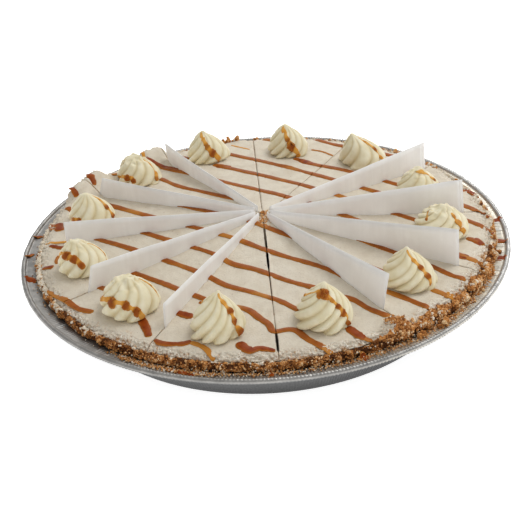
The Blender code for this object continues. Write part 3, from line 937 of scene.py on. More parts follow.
@dataclass(frozen=True)
class PaperFinish:
    """Thin, slightly translucent baking paper, with a faint painted glow for the light that shines
    through it.
    """

    white: Colour = (0.95, 0.935, 0.91)
    shade: Colour = (0.86, 0.84, 0.81)
    glow: float = 0.06

    def material(self) -> Material:
        """Make the material.

        Returns:
            The finished material.
        """
        sheet = Shading("baking_paper", 0.55)
        cloud = sheet.noise(12.0 * MM, 4.0)
        fibre = sheet.noise(0.7 * MM, 3.0)
        colour = sheet.blend(sheet.step(cloud, 0.35, 0.7), self.white, self.shade)
        streaks = sheet.add("ShaderNodeMapping", {"Vector": sheet.place, "Scale": (1.0, 1.0, 0.08)})
        streak = sheet.step(sheet.noise(2.2 * MM, 3.0, streaks.outputs[0]), 0.35, 0.7, 0.0, 0.6)
        colour = sheet.blend(streak, colour, self.shade)
        sheet.set("Base Color", colour)
        sheet.bump(sheet.math("ADD", fibre, cloud), 0.05 * MM, 0.5)
        sheet.set("Specular IOR Level", 0.3)
        # Painted light: a faint glow stands in for light passing through the paper.
        sheet.set("Emission Color", (1.0, 0.97, 0.92, 1.0))
        sheet.set("Emission Strength", self.glow)
        sheet.set("Alpha", 0.93)
        return sheet.material


@dataclass(frozen=True)
class FloorFinish:
    """Plain matt white board."""

    white: Colour = (0.90, 0.90, 0.90)
    glow: float = 0.85

    def material(self) -> Material:
        """Make the material.

        Returns:
            The finished material.
        """
        sheet = Shading("white_board", 0.9)
        grain = sheet.noise(20.0 * MM, 2.0)
        pale = tuple(0.99 * value for value in self.white)
        sheet.set("Base Color", sheet.blend(grain, self.white, pale))
        sheet.set("Emission Color", (1.0, 1.0, 1.0, 1.0))
        sheet.set("Emission Strength", self.glow)
        return sheet.material


class Pantry:
    """All the finishes, made once."""

    def __init__(self) -> None:
        """Make every finish's material."""
        self.materials: dict[Slot, Material] = {
            Slot.FOIL: FoilFinish().material(),
            Slot.CRUMB: CrumbFinish().material(),
            Slot.CREAM: CreamFinish().material(),
            Slot.PIPED: PipedCreamFinish().material(),
            Slot.CARAMEL: CaramelFinish().material(),
            Slot.PAPER: PaperFinish().material(),
        }

    def serve(self, bm: Mesh, name: str, slot: Slot,
              stands_for: str | None = None, smooth: bool = True) -> bpy.types.Object:
        """Turn a bmesh into a finished piece that rides on the pie.

        Args:
            bm: The piece's mesh, in place. It is freed.
            name: The piece's name.
            slot: Its finish.
            stands_for: The solid that it replaces, if any.
            smooth: Whether its faces are shaded smooth.

        Returns:
            The new object.
        """
        for face in bm.faces:
            face.smooth = smooth and len(face.verts) <= 4
        bmesh.ops.triangulate(bm, faces=[face for face in bm.faces if len(face.verts) > 4])
        mesh = bpy.data.meshes.new(name)
        bm.to_mesh(mesh)
        bm.free()
        mesh.materials.append(self.materials[slot])
        piece = bpy.data.objects.new(name, mesh)
        bpy.context.scene.collection.objects.link(piece)
        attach(piece, BODY)
        if stands_for:
            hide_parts(stands_for)
        mesh.calc_loop_triangles()
        LOG.info("%-18s %7d triangles", name, len(mesh.loop_triangles))
        return piece


# ---- Mesh helpers ----

def spun(outline: Sequence[Pair], angle: float, steps: int) -> Mesh:
    """Spin an outline about the pie's axis, starting at +X.

    Args:
        outline: Radius and height of each point.
        angle: How far to spin. A full turn is welded shut.
        steps: Number of steps.

    Returns:
        A mesh whose vertices hold their outline point in the layer "row".
    """
    bm = bmesh.new()
    row = bm.verts.layers.int.new("row")
    points = [bm.verts.new((radius, 0.0, height)) for radius, height in outline]
    for index, point in enumerate(points):
        point[row] = index
    edges = [bm.edges.new(pair) for pair in zip(points, points[1:])]
    whole = angle > 2.0 * math.pi - 1e-6
    bmesh.ops.spin(bm, geom=points + edges, cent=(0.0, 0.0, 0.0), axis=(0.0, 0.0, 1.0),
                   dvec=(0.0, 0.0, 0.0), angle=angle, steps=steps, use_merge=whole,
                   use_duplicate=False)
    return bm


def empty_mesh(layer: str) -> Mesh:
    """Start a mesh with one layer of values on its vertices.

    Args:
        layer: The layer's name.

    Returns:
        The empty mesh.
    """
    bm = bmesh.new()
    bm.verts.layers.float.new(layer)
    return bm


def copied(bm: Mesh) -> list[bmesh.types.BMVert]:
    """Double a mesh in place.

    Args:
        bm: The mesh.

    Returns:
        The copies' vertices.
    """
    copies = bmesh.ops.duplicate(bm, geom=bm.verts[:] + bm.edges[:] + bm.faces[:])
    return [item for item in copies["geom"] if isinstance(item, bmesh.types.BMVert)]


def doubled_round(bm: Mesh, angle: float, doublings: int) -> None:
    """Copy a sector round the pie's axis until the copies make a full turn.

    Args:
        bm: The sector's mesh, one edge at +X.
        angle: The sector's angle.
        doublings: How often the mesh is doubled.
    """
    for _ in range(doublings):
        bmesh.ops.rotate(bm, verts=copied(bm), cent=(0.0, 0.0, 0.0),
                         matrix=Matrix.Rotation(angle, 3, "Z"))
        angle *= 2.0
    bmesh.ops.remove_doubles(bm, verts=bm.verts, dist=1e-6)


def cap(bm: Mesh) -> None:
    """Close a mesh's open ends.

    Args:
        bm: The mesh.
    """
    rims = [edge for edge in bm.edges if edge.is_boundary]
    if rims:
        bmesh.ops.holes_fill(bm, edges=rims, sides=0)


def close_up(bm: Mesh) -> None:
    """Weld a mesh, close its open ends and turn its faces outwards.

    Args:
        bm: The mesh.
    """
    bmesh.ops.remove_doubles(bm, verts=bm.verts, dist=1e-6)
    cap(bm)
    bmesh.ops.recalc_face_normals(bm, faces=bm.faces)


@dataclass
class Grain:
    """One crumb: its middle, its mean radius and how pale it is, 0 to 1."""

    place: Vector
    size: float
    tone: float


def add_grains(bm: Mesh, rng: random.Random, grains: Sequence[Grain],
               rounds: int) -> None:
    """Add angular crumbs to a mesh.

    Args:
        bm: The mesh, with a float layer "tone".
        rng: Source of the crumbs' uneven shapes.
        grains: The crumbs.
        rounds: How finely a crumb is divided, 1 or more.
    """
    heap = empty_mesh("tone")
    copy = heap.verts.layers.int.new("copy")
    tone = heap.verts.layers.float["tone"]
    bmesh.ops.create_icosphere(heap, subdivisions=rounds, radius=1.0)
    made = 1
    while made < len(grains):
        for vert in copied(heap):
            vert[copy] += made
        made *= 2
    spare = [vert for vert in heap.verts if vert[copy] >= len(grains)]
    bmesh.ops.delete(heap, geom=spare, context="VERTS")
    forms = []
    for grain in grains:
        turn = Euler([rng.uniform(0.0, math.tau) for _ in range(3)]).to_matrix()
        sizes = [grain.size * rng.uniform(0.65, 1.25) for _ in range(3)]
        forms.append(turn @ Matrix.Diagonal(sizes))
    for vert in heap.verts:
        number = vert[copy]
        vert.co = grains[number].place + forms[number] @ (vert.co * rng.uniform(0.6, 1.25))
        vert[tone] = grains[number].tone
    heap.verts.layers.int.remove(copy)
    merge_into(bm, heap)


def spindle(stations: int, sides: int) -> Mesh:
    """Make a closed tube along +X with pointed ends, one unit between stations.

    Args:
        stations: Number of steps along it.
        sides: Number of points round it.

    Returns:
        The tube.
    """
    bm = bmesh.new()
    points = [bm.verts.new((float(index), 0.0, 0.0 if index in (0, stations) else 1.0))
              for index in range(stations + 1)]
    edges = [bm.edges.new(pair) for pair in zip(points, points[1:])]
    bmesh.ops.spin(bm, geom=points + edges, cent=(0.0, 0.0, 0.0), axis=(1.0, 0.0, 0.0),
                   dvec=(0.0, 0.0, 0.0), angle=math.tau, steps=sides, use_merge=True,
                   use_duplicate=False)
    bmesh.ops.remove_doubles(bm, verts=bm.verts, dist=1e-4)
    return bm


@dataclass
class Station:
    """One cross-section of a poured strip.

    Attributes:
        middle: Point on the surface below the strip's middle.
        up: Direction away from the surface.
        half: Half the strip's width.
        height: Its height above the surface.
        full: How deep its colour is, from 0 for an amber film to 1. Below 0 it is a stain.
    """

    middle: Vector
    up: Vector
    half: float
    height: float
    full: float = 1.0


def pour(stations: Sequence[Station], sink: float, sides: int = 14) -> Mesh:
    """Lay a flat-topped strip of caramel along a row of stations.

    Args:
        stations: The cross-sections, in order.
        sink: How deep the strip reaches below the surface.
        sides: Number of points round a cross-section.

    Returns:
        A closed mesh with the layer "thin", 1 for an amber film and more for a stain.
    """
    bm = spindle(len(stations) - 1, sides)
    thin = bm.verts.layers.float.new("thin")
    last = len(stations) - 1
    for vert in bm.verts:
        index = min(max(round(vert.co.x), 0), last)
        station = stations[index]
        ahead = stations[min(index + 1, last)].middle - stations[max(index - 1, 0)].middle
        across = station.up.cross(ahead).normalized()
        turn = math.atan2(vert.co.z, vert.co.y)
        size = math.hypot(vert.co.y, vert.co.z)
        lift = math.sin(turn)
        rise = station.height * lift ** 0.75 if lift > 0.0 else sink * lift
        bulge = math.copysign(abs(math.cos(turn)) ** 0.8, math.cos(turn))
        vert.co = station.middle + size * (across * station.half * bulge + station.up * rise)
        edge = 0.40 * ease(0.70, 1.0, abs(bulge))
        vert[thin] = 1.0 - station.full * (1.0 - edge) * size
    return bm


def merge_into(target: Mesh, source: Mesh) -> None:
    """Move one mesh's geometry into another.

    Args:
        target: The mesh that takes it.
        source: The mesh that gives it. It is freed.
    """
    carrier = bpy.data.meshes.new("carrier")
    source.to_mesh(carrier)
    source.free()
    target.from_mesh(carrier)
    bpy.data.meshes.remove(carrier)


# ---- The tin ----

@dataclass
class FoilTin:
    """The pressed foil tin: flat base, fluted wall, crimped flange, rolled bead."""

    rim_radius: float = 130.0 * MM
    bead_radius: float = 1.3 * MM
    bead_height: float = 27.2 * MM
    base_radius: float = 102.0 * MM
    wall_top_radius: float = 117.1 * MM
    wall_top_height: float = 24.9 * MM
    flange_height: float = 25.6 * MM
    foil: float = 0.35 * MM
    doublings: int = 5
    crimps_per_sector: int = 15
    steps_per_crimp: int = 4
    crimp_depth: float = 0.34 * MM
    crimp_range: Pair = (0.6, 2.4)   # at the left and at the right
    bead_crimp: float = 0.20 * MM
    flute_depth: float = 0.12 * MM
    dent: float = 0.16 * MM
    fine_dent: float = 0.05 * MM
    wall_dent: float = 0.20 * MM
    bead_side: int = 17              # row of the outline where the bead turns under

    @property
    def crimps(self) -> int:
        """Number of crimps all round."""
        return self.crimps_per_sector * 2 ** self.doublings

    @property
    def flange_top(self) -> Pair:
        """Height of the flange's upper side at its inner and its outer edge."""
        return self.flange_height + 0.6 * MM, self.bead_height - 0.2 * MM

    def outline(self) -> Outline:
        """Draw the section, from the floor's middle over the bead to the foot.

        Returns:
            Radius and height of each point.
        """
        bead_middle = self.rim_radius - self.bead_radius
        flange_in, flange_out = self.wall_top_radius + 0.9 * MM, bead_middle - self.bead_radius
        inside = [(0.0, self.foil), (self.base_radius - 0.4 * MM, self.foil),
                  (self.base_radius + 0.5 * MM, self.foil + 0.8 * MM),
                  (self.wall_top_radius - 0.5 * MM, self.wall_top_height + 0.4 * MM)]
        for share in (0.0, 0.08, 0.2, 0.35, 0.5, 0.65, 0.8, 0.92):
            inside.append((mix(flange_in, flange_out, share), mix(*self.flange_top, share)))
        bead = []
        for degrees in range(190, -151, -34):
            angle = math.radians(degrees)
            bead.append((bead_middle + self.bead_radius * math.cos(angle),
                         self.bead_height + self.bead_radius * math.sin(angle)))
        outside = [(mix(flange_out, flange_in, share),
                    mix(self.bead_height - 0.9 * MM, self.flange_height, share))
                   for share in (0.25, 0.6, 0.9)]
        outside.append((self.wall_top_radius + 0.2 * MM, self.flange_height - 0.3 * MM))
        for share in (0.0, 0.06, 0.2, 0.4, 0.6, 0.8, 0.93, 1.0):
            outside.append((mix(self.wall_top_radius, self.base_radius + 1.1 * MM, share),
                            mix(self.wall_top_height, 0.9 * MM, share)))
        outside += [(self.base_radius + 0.5 * MM, 0.25 * MM), (self.base_radius, 0.0),
                    (self.base_radius - 12.0 * MM, 0.0), (0.0, 0.0)]
        return inside + bead + outside

    def crimp(self, place: Vector) -> Vector:
        """Find how far the crimps and dents shift a point of the tin.

        Args:
            place: The point.

        Returns:
            Its shift.
        """
        radius = math.hypot(place.x, place.y)
        if radius < self.base_radius - 1.0 * MM:
            return Vector()
        angle = math.atan2(place.y, place.x)
        around = polar(self.rim_radius, angle)
        phase = self.crimps * angle + 1.6 * wobble(around, 9.0 * MM)
        uneven = 0.75 + 0.7 * wobble(around, 2.6 * MM) + 0.4 * wobble(around, 14.0 * MM)
        uneven *= mix(*self.crimp_range, ease(-0.2, 0.95, math.cos(angle)))
        wave = math.sin(phase) * uneven
        outward = Vector((place.x, place.y, 0.0)).normalized()
        bead_in = self.rim_radius - 2.0 * self.bead_radius
        flange = ease(self.wall_top_radius, self.wall_top_radius + 2.0 * MM, radius)
        flange *= 1.0 - ease(bead_in - 1.2 * MM, bead_in + 0.5 * MM, radius)
        wall = 1.0 - ease(self.wall_top_radius, self.wall_top_radius + 1.0 * MM, radius)
        wall *= ease(0.8 * MM, 5.0 * MM, place.z)
        bead = ease(bead_in, bead_in + 1.0 * MM, radius)
        dent = self.dent * wobble(around, 7.0 * MM)
        dent += self.fine_dent * wobble(around, 1.6 * MM)
        rise = flange * self.crimp_depth * wave + bead * (dent + self.bead_crimp * wave)
        push = wall * self.flute_depth * wave + bead * dent
        around.z = place.z
        push += wall * self.wall_dent * wobble(around, 11.0 * MM)
        return outward * push + Vector((0.0, 0.0, rise))

    def build(self, pantry: Pantry) -> None:
        """Build the tin and let it stand for its solid.

        Args:
            pantry: The finishes.
        """
        sector = math.tau / 2 ** self.doublings
        bm = spun(self.outline(), sector, self.crimps_per_sector * self.steps_per_crimp)
        doubled_round(bm, sector, self.doublings)
        row = bm.verts.layers.int["row"]
        # under marks the bead's underside and the outer wall, where the foil's finish paints shade.
        under = bm.verts.layers.float.new("under")
        for vert in bm.verts:
            vert[under] = ease(self.bead_side, self.bead_side + 2, vert[row])
            vert.co += self.crimp(vert.co)
        bmesh.ops.recalc_face_normals(bm, faces=bm.faces)
        pantry.serve(bm, "foil_tin", Slot.FOIL, "tin")


# ---- The crust ----

@dataclass
class CrumbCrust:
    """One slice of the pressed crumb crust, broken off over the flange."""

    layout: PieLayout
    number: int
    floor: float = 1.0 * MM
    bottom_radius: float = 101.5 * MM
    wall_radius: float = 115.9 * MM
    wall_height: float = 25.4 * MM
    ledge: Pair = (114.2 * MM, 27.5 * MM)
    foot: Pair = (97.0 * MM, 5.5 * MM)
    edge: Curve = (
        (117.7, 26.8), (121.2, 27.0), (122.1, 28.3), (121.8, 29.9), (120.6, 31.0), (119.4, 30.3))
    edge_step: float = 0.45 * MM
    columns: int = 120
    relief: float = 0.9 * MM
    settle: float = 0.4 * MM
    clods: int = 26
    coarse_grains: int = 150
    fine_grains: int = 900
    seed: int = 500

    def edge_points(self) -> Outline:
        """Draw the broken edge's section in short steps.

        Returns:
            Radius and height of each point.
        """
        corners = [(radius * MM, height * MM) for radius, height in self.edge] + [self.ledge]
        points = []
        for (r0, z0), (r1, z1) in zip(corners, corners[1:]):
            steps = max(1, round(math.hypot(r1 - r0, z1 - z0) / self.edge_step))
            points += [(mix(r0, r1, step / steps), mix(z0, z1, step / steps))
                       for step in range(steps)]
        return points

    def on_edge(self, rng: random.Random, low: float, high: float) -> Vector:
        """Pick a place on the broken face.

        Args:
            rng: Source of the place.
            low: Share of the face's height where the places start.
            high: Share where they end.

        Returns:
            The place.
        """
        place = mix(low, high, rng.random()) * (len(self.edge) - 1)
        index = min(int(place), len(self.edge) - 2)
        (r0, z0), (r1, z1) = self.edge[index], self.edge[index + 1]
        radius = mix(r0, r1, place - index) * MM
        angle = self.layout.spread(self.number, radius, rng.uniform(0.012, 0.988))
        return polar(radius, angle, mix(z0, z1, place - index) * MM)

    def tone_at(self, place: Vector, tone: float) -> float:
        """Raise a crumb's tone to the cream's where cream is smeared on it.

        Args:
            place: Where the crumb lies.
            tone: Its own tone, from 0 to 1.

        Returns:
            The tone that shows.
        """
        past = math.hypot(place.x, place.y) - self.layout.cream_reach(place)
        left = ease(0.35, 0.85, -facing(place))
        right = ease(0.45, 0.85, facing(place, RIGHT_FRONT))
        fray = 2.2 * wobble(place, 2.0 * MM) + 1.2 * wobble(place, 0.8 * MM)
        past += fray * MM * (1.0 + left) * mix(1.0, 0.55, right)
        tone *= 1.0 - 0.3 * left
        drop = 1.5 * MM * left
        low = 0.85 * ease(29.6 * MM - drop, 28.2 * MM - drop, place.z)
        return mix(1.0, 0.84 * tone, max(low, ease(-0.3 * MM, 0.3 * MM, past)))

    @staticmethod
    def clod(place: Vector) -> float:
        """Return from -1 to 1 how far the crumbs bulge out in clods or lie in hollows."""
        right = ease(0.55, 0.9, facing(place, RIGHT_FRONT))
        return (1.0 + 0.6 * right) * wobble(place, mix(3.4, 5.0, right) * MM)

    def grains(self, rng: random.Random, count: int, mean: float, low: float,
               high: float) -> list[Grain]:
        """Strew crumbs that stick out of the broken face.

        Args:
            rng: Source of their places.
            count: How many. Those that fall in a hollow are mostly left out.
            mean: Their usual radius.
            low: Share of the face's height where they start.
            high: Share where they end.

        Returns:
            The crumbs.
        """
        found = []
        for _ in range(count):
            place = self.on_edge(rng, low, high)
            size = mean * min(math.exp(rng.gauss(0.0, 0.36)), 1.6)
            outward = polar(1.0, math.atan2(place.y, place.x))
            clod = self.clod(place)
            if clod < -0.12 and rng.random() < 0.75:
                continue
            out = (rng.uniform(-0.4, 0.1) + 1.3 * clod) * MM
            place += outward * (self.settle * outward.x + out)
            place += outward * (0.35 * MM - 0.5 * size)
            place.z += (rng.uniform(-0.2, 0.3) + 0.5 * max(clod, 0.0)) * MM
            calm = ease(0.3, 0.8, outward.x)
            # Painted shade and highlight: crumbs on clods are paler and those in hollows darker.
            own = 0.55 + mix(0.40, 0.75, calm) * clod
            tone = min(max(rng.gauss(own, mix(0.15, 0.12, calm)), 0.0), 1.0)
            found.append(Grain(place, size, self.tone_at(place, tone)))
        return found

    def build(self, pantry: Pantry) -> None:
        """Build the slice of crust and let it stand for its solid.

        Args:
            pantry: The finishes.
        """
        layout, number = self.layout, self.number
        rng = random.Random(self.seed + number)
        edge = self.edge_points()
        tip_radius = layout.slice_tip(number)[0]
        outline = [(tip_radius, self.floor), (self.bottom_radius, self.floor),
                   (self.wall_radius, self.wall_height)]
        first = len(outline)
        outline += edge
        outline += [self.ledge, self.foot, (tip_radius, self.foot[1])]
        last = first + len(edge)
        bm = spun(outline, layout.slice_angle, self.columns)
        row = bm.verts.layers.int["row"]
        tone = bm.verts.layers.float.new("tone")
        tip = polar(*layout.slice_tip(number))
        for vert in bm.verts:
            index = vert[row]
            share = math.atan2(vert.co.y, vert.co.x) / layout.slice_angle
            radius, height = outline[index]
            if index in (0, len(outline) - 1):
                vert.co = tip + Vector((0.0, 0.0, height))
                continue
            exposed = ease(first, first + 4, index) * ease(last, last - 7, index)
            angle = layout.spread(number, radius, share)
            place = polar(radius, angle, height)
            bumps = cell_bumps(place, 3.0 * MM) + 0.6 * cell_bumps(place, 1.2 * MM) - 0.72
            clod = self.clod(place)
            shift = self.relief * (0.8 * bumps + 1.5 * clod) * exposed
            radius += shift + self.settle * math.cos(angle) * exposed
            vert.co = polar(radius, layout.spread(number, radius, share),
                            height + 0.6 * max(shift, -0.5 * MM))
            # The tone is the crumbs' own random spread plus painted shade in hollows and painted
            # highlight on bumps and clods.
            own = 0.26 + 0.28 * noise.cell(place / (0.9 * MM)) + 0.28 * bumps + 0.45 * clod
            vert[tone] = self.tone_at(place, min(max(own, 0.0), 1.0))
        close_up(bm)
        add_grains(bm, rng, self.grains(rng, self.clods, 0.75 * MM, 0.25, 0.9), 2)
        add_grains(bm, rng, self.grains(rng, self.coarse_grains, 0.48 * MM, 0.12, 0.95), 2)
        add_grains(bm, rng, self.grains(rng, self.fine_grains, 0.27 * MM, 0.05, 1.0), 1)
        pantry.serve(bm, f"crust_slice_{number + 1:02d}", Slot.CRUMB,
                     f"crust_{number + 1:02d}")


# ---- The cream ----

@dataclass
class CreamSlice:
    """One slice of the cream filling, spread smooth and ragged at the rim."""

    layout: PieLayout
    number: int
    top_rows: int = 118
    roll_rows: int = 22
    columns: int = 128
    foot: Pair = (96.3 * MM, 5.9 * MM)
    ledge: Pair = (113.6 * MM, 28.0 * MM)
    ragged_from: float = 112.0 * MM
    cut_round: float = 0.7 * MM
    drag_depth: float = 0.085 * MM
    pit_spacing: float = 5.5 * MM
    pit_depth: float = 0.28 * MM
    torn_height: float = 0.80 * MM
    torn_push: float = 0.90 * MM
    bare_drop: float = 0.35 * MM

    def rows(self) -> Outline:
        """Draw the section, from the tip over the rim to the foot.

        Returns:
            Radius and height of each row. The top's heights are set later.
        """
        layout = self.layout
        tip = layout.slice_tip(self.number)[0]
        rows = [(mix(tip, layout.shoulder_radius, index / self.top_rows), 0.0)
                for index in range(self.top_rows)]
        rows += [(mix(layout.shoulder_radius, layout.edge_radius, index / self.roll_rows), 0.0)
                 for index in range(self.roll_rows + 1)]
        under = [(mix(layout.edge_radius, self.ledge[0], share),
                  mix(layout.edge_height, self.ledge[1], share))
                 for share in (0.15, 0.35, 0.6, 1.0)]
        return rows + under + [self.foot, (tip, self.foot[1])]

    def relief(self, place: Vector, radius: float, angle: float) -> float:
        """Find the height of the spatula's marks and pits.

        Args:
            place: Point on the smooth top.
            radius: Its distance from the pie's axis.
            angle: Its angle about the axis.

        Returns:
            Height above the smooth top.
        """
        height = self.layout.waves(place) + 0.10 * MM * wobble(place, 3.2 * MM)
        drag = Vector((radius / (1.5 * MM), angle * 100.0 * MM / (16.0 * MM), 3.0))
        height += self.drag_depth * noise.noise(drag)
        pits = noise.voronoi(Vector((place.x, place.y, 0.0)) / self.pit_spacing)[0][0]
        height -= self.pit_depth * (1.0 - ease(0.04, 0.13, pits))
        return height

    def build(self, pantry: Pantry) -> None:
        """Build the slice of cream and let it stand for its solid.

        Args:
            pantry: The finishes.
        """
        layout, number = self.layout, self.number
        rows = self.rows()
        top = self.top_rows + self.roll_rows
        under = top + 4
        bm = spun(rows, layout.slice_angle, self.columns)
        row = bm.verts.layers.int["row"]
        crumb = bm.verts.layers.float.new("crumb")
        rim = bm.verts.layers.float.new("rim")
        cut = bm.verts.layers.float.new("cut")
        tip = polar(*layout.slice_tip(number))
        for vert in bm.verts:
            index = vert[row]
            share = math.atan2(vert.co.y, vert.co.x) / layout.slice_angle
            radius, height = rows[index]
            if index in (0, len(rows) - 1):
                vert.co = tip
                vert.co.z = layout.cream_height(tip) if index == 0 else height
                continue
            angle = layout.spread(number, radius, share)
            place = polar(radius, angle)
            vert[cut] = layout.cut_shadow(number, radius, share)
            if index <= top:
                place.z = layout.cream_height(place)
                ragged = ease(self.ragged_from, layout.edge_radius - 1.0 * MM, radius)
                lump = 0.5 * wobble(place, 2.6 * MM) + 1.0 * wobble(place, 1.1 * MM)
                place.z += self.relief(place, radius, angle) * (1.0 - 0.5 * ragged)
                place.z += self.torn_height * lump * ragged + layout.open_lip(number, place)
                side = layout.cut_depth(number, place)
                fall = 1.0 - ease(0.0, self.cut_round, side)
                place.z -= fall * (0.32 + 0.25 * wobble(place, 2.5 * MM)) * MM
                past = (radius - layout.cream_reach(place)) / MM
                vert[rim] = ease(-6.5, -0.8, past + 2.2 * wobble(place, 5.0 * MM))
                tear = 1.0 * wobble(place, 1.5 * MM) + 0.7 * wobble(place, 0.8 * MM)
                bare = ease(-0.5, 0.5, past + 0.8 * tear)
                flecks = ease(0.42, 0.60, wobble(place, 2.3 * MM) + 0.5 * tear)
                flecks *= ease(-8.0, -1.0, past)
                seam = 0.75 * ease(-0.1, 0.45, wobble(place, 1.9 * MM))
                seam *= ease(0.5 * MM, 0.0, side)
                vert[crumb] = max(bare, 0.85 * flecks, seam)
                place.z -= self.bare_drop * bare
                push = self.torn_push * ragged * lump
                vert.co = polar(radius + push, layout.spread(number, radius + push, share), place.z)
            else:
                vert.co = polar(radius, angle, height)
                if index < under:
                    vert.co.z += layout.heap_height(angle) * (under - index) / 5.0
                    past = (radius - layout.cream_reach(place)) / MM
                    vert[crumb] = ease(-2.0, 1.0, past)
        close_up(bm)
        pantry.serve(bm, f"cream_slice_{number + 1:02d}", Slot.CREAM,
                     f"filling_{number + 1:02d}")


# ---- The swirls ----

@dataclass
class CreamSwirl:
    """One piped swirl: rounded ridges that wind up from the foot to the tip."""

    layout: PieLayout
    number: int
    lobes: int = 9
    points_per_lobe: int = 13
    levels: int = 60
    groove: float = 0.16
    flare: float = 0.10
    peak: float = -0.14
    settled: float = 0.2
    sunk: float = 0.25 * MM
    lump: float = 0.28 * MM
    tip_lump: float = 1.9 * MM
    tip_push: float = 1.2 * MM
    dome: Curve = (
        (0.0, 0.90), (0.06, 0.985), (0.14, 1.0), (0.36, 0.93), (0.56, 0.79),
        (0.75, 0.58), (0.90, 0.34), (0.965, 0.20), (1.0, 0.06))
    cone: Curve = (
        (0.0, 0.92), (0.06, 0.985), (0.14, 0.985), (0.36, 0.86), (0.56, 0.65),
        (0.72, 0.44), (0.84, 0.24), (0.92, 0.115), (1.0, 0.035))

    @property
    def shape(self) -> SwirlShape:
        """Place and form of this swirl."""
        return SWIRL_SHAPES[self.number]

    @property
    def place(self) -> Vector:
        """Middle of the swirl's foot, at the height of the cream."""
        radius = self.shape.radius * MM
        angle = self.layout.cut_angle(self.number) + 0.5 * self.layout.slice_angle
        middle = polar(radius, angle + self.shape.shift * MM / radius)
        middle.z = self.layout.cream_height(middle)
        return middle

    def valley(self, lobe: float) -> float:
        """Find how deep the groove is.

        Args:
            lobe: Turn across the ridges, 1 from one ridge to the next.

        Returns:
            From 0 on a ridge to 1 in a valley.
        """
        off = lobe - round(lobe) - self.peak
        across = off / (0.5 - self.peak) if off > 0.0 else -off / (0.5 + self.peak)
        return 0.4 * across ** 2 + 0.6 * (1.0 - math.sqrt(max(1.0 - 0.97 * across * across, 0.0)))

    def middle_at(self, rise: float) -> Vector:
        """Find the middle of the swirl at a height.

        Args:
            rise: Share of the swirl's height.

        Returns:
            The point.
        """
        sway = self.shape.lean * rise ** 2 * MM
        curl = 0.8 * MM * ease(0.86, 1.0, rise)
        return self.place + Vector((sway + curl, 0.0, self.shape.height * MM * rise))

    def build(self, pantry: Pantry) -> BVHTree:
        """Build the swirl and let it stand for its solid.

        Args:
            pantry: The finishes.

        Returns:
            Its surface, for the caramel to lie on.
        """
        shape = self.shape
        outline = [(0.0, 0.0)]
        for level in range(self.levels):
            rise = (level / self.levels) ** 0.92
            outline.append((mix(curve(self.dome, rise), curve(self.cone, rise),
                                shape.spire), rise))
        outline.append((0.0, 1.0))
        columns = self.lobes * self.points_per_lobe
        bm = spun(outline, math.tau, columns)
        bmesh.ops.remove_doubles(bm, verts=bm.verts, dist=1e-6)
        valley = bm.verts.layers.float.new("valley")
        seed = Vector((0.0, 0.0, 7.3 * self.number))
        for vert in bm.verts:
            share = math.hypot(vert.co.x, vert.co.y)
            rise = vert.co.z
            angle = math.atan2(vert.co.y, vert.co.x)
            uneven = 0.22 * noise.noise(polar(1.3, angle) + seed)
            lobe = (angle / math.tau + 0.05 * noise.noise(polar(0.9, angle) - seed)) * self.lobes
            depth = self.groove * (1.0 + uneven) * (1.0 - ease(0.80, 0.99, rise))
            depth *= 1.0 + 0.6 * ease(0.40, 0.05, rise)
            radius = 0.5 * shape.width * MM * share * (1.0 - depth * self.valley(lobe))
            foot = 1.0 - ease(0.0, 0.16, rise)
            odd = noise.cell(Vector((round(lobe) % self.lobes, 0.5, self.number)))
            radius *= 1.0 + self.flare * foot * (1.6 * odd - 0.4) * (1.0 - 1.5 * self.valley(lobe))
            # The valley layer holds painted shade in the grooves and along the foot.
            hollow = ease(0.05, 0.85, self.valley(lobe)) * ease(1.0, 0.85, rise)
            vert[valley] = max(0.62 * hollow, 0.5 * ease(0.08, 0.0, rise))
            turned = angle + math.radians(shape.twist) * rise
            middle = self.middle_at(rise)
            place = middle + polar(radius, turned)
            lump = wobble(place + seed, 6.0 * MM)
            place += polar(self.lump * lump * share, turned)
            blunt = max(0.25, 1.0 - 1.4 * shape.spire) * ease(0.66, 0.92, rise)
            place.z += self.tip_lump * blunt * wobble(place - seed, 3.0 * MM)
            place += polar(self.tip_push * blunt * wobble(place + seed, 2.4 * MM), turned)
            if rise < self.settled:
                ground = self.layout.cream_height(place) - self.place.z
                place.z += (ground - self.sunk) * (1.0 - rise / self.settled)
            vert.co = place
        close_up(bm)
        tree = BVHTree.FromBMesh(bm)
        pantry.serve(bm, f"swirl_{self.number + 1:02d}", Slot.PIPED,
                     f"rosette_{self.number + 1:02d}")
        return tree

    def surface_at(self, tree: BVHTree, turn: float, rise: float) -> tuple[Vector, Vector]:
        """Find a place on the swirl's surface.

        Args:
            tree: The swirl's surface.
            turn: Angle about the swirl's axis.
            rise: Share of the swirl's height.

        Returns:
            The point and its normal.
        """
        middle = self.middle_at(min(rise, 0.97))
        inward = -polar(1.0, turn)
        start = middle - inward * self.shape.width * MM
        hit, normal, _face, _far = tree.ray_cast(start, inward)
        if hit is None:
            hit, normal, _face, _far = tree.find_nearest(middle)
        return hit, normal


# ---- The caramel ----

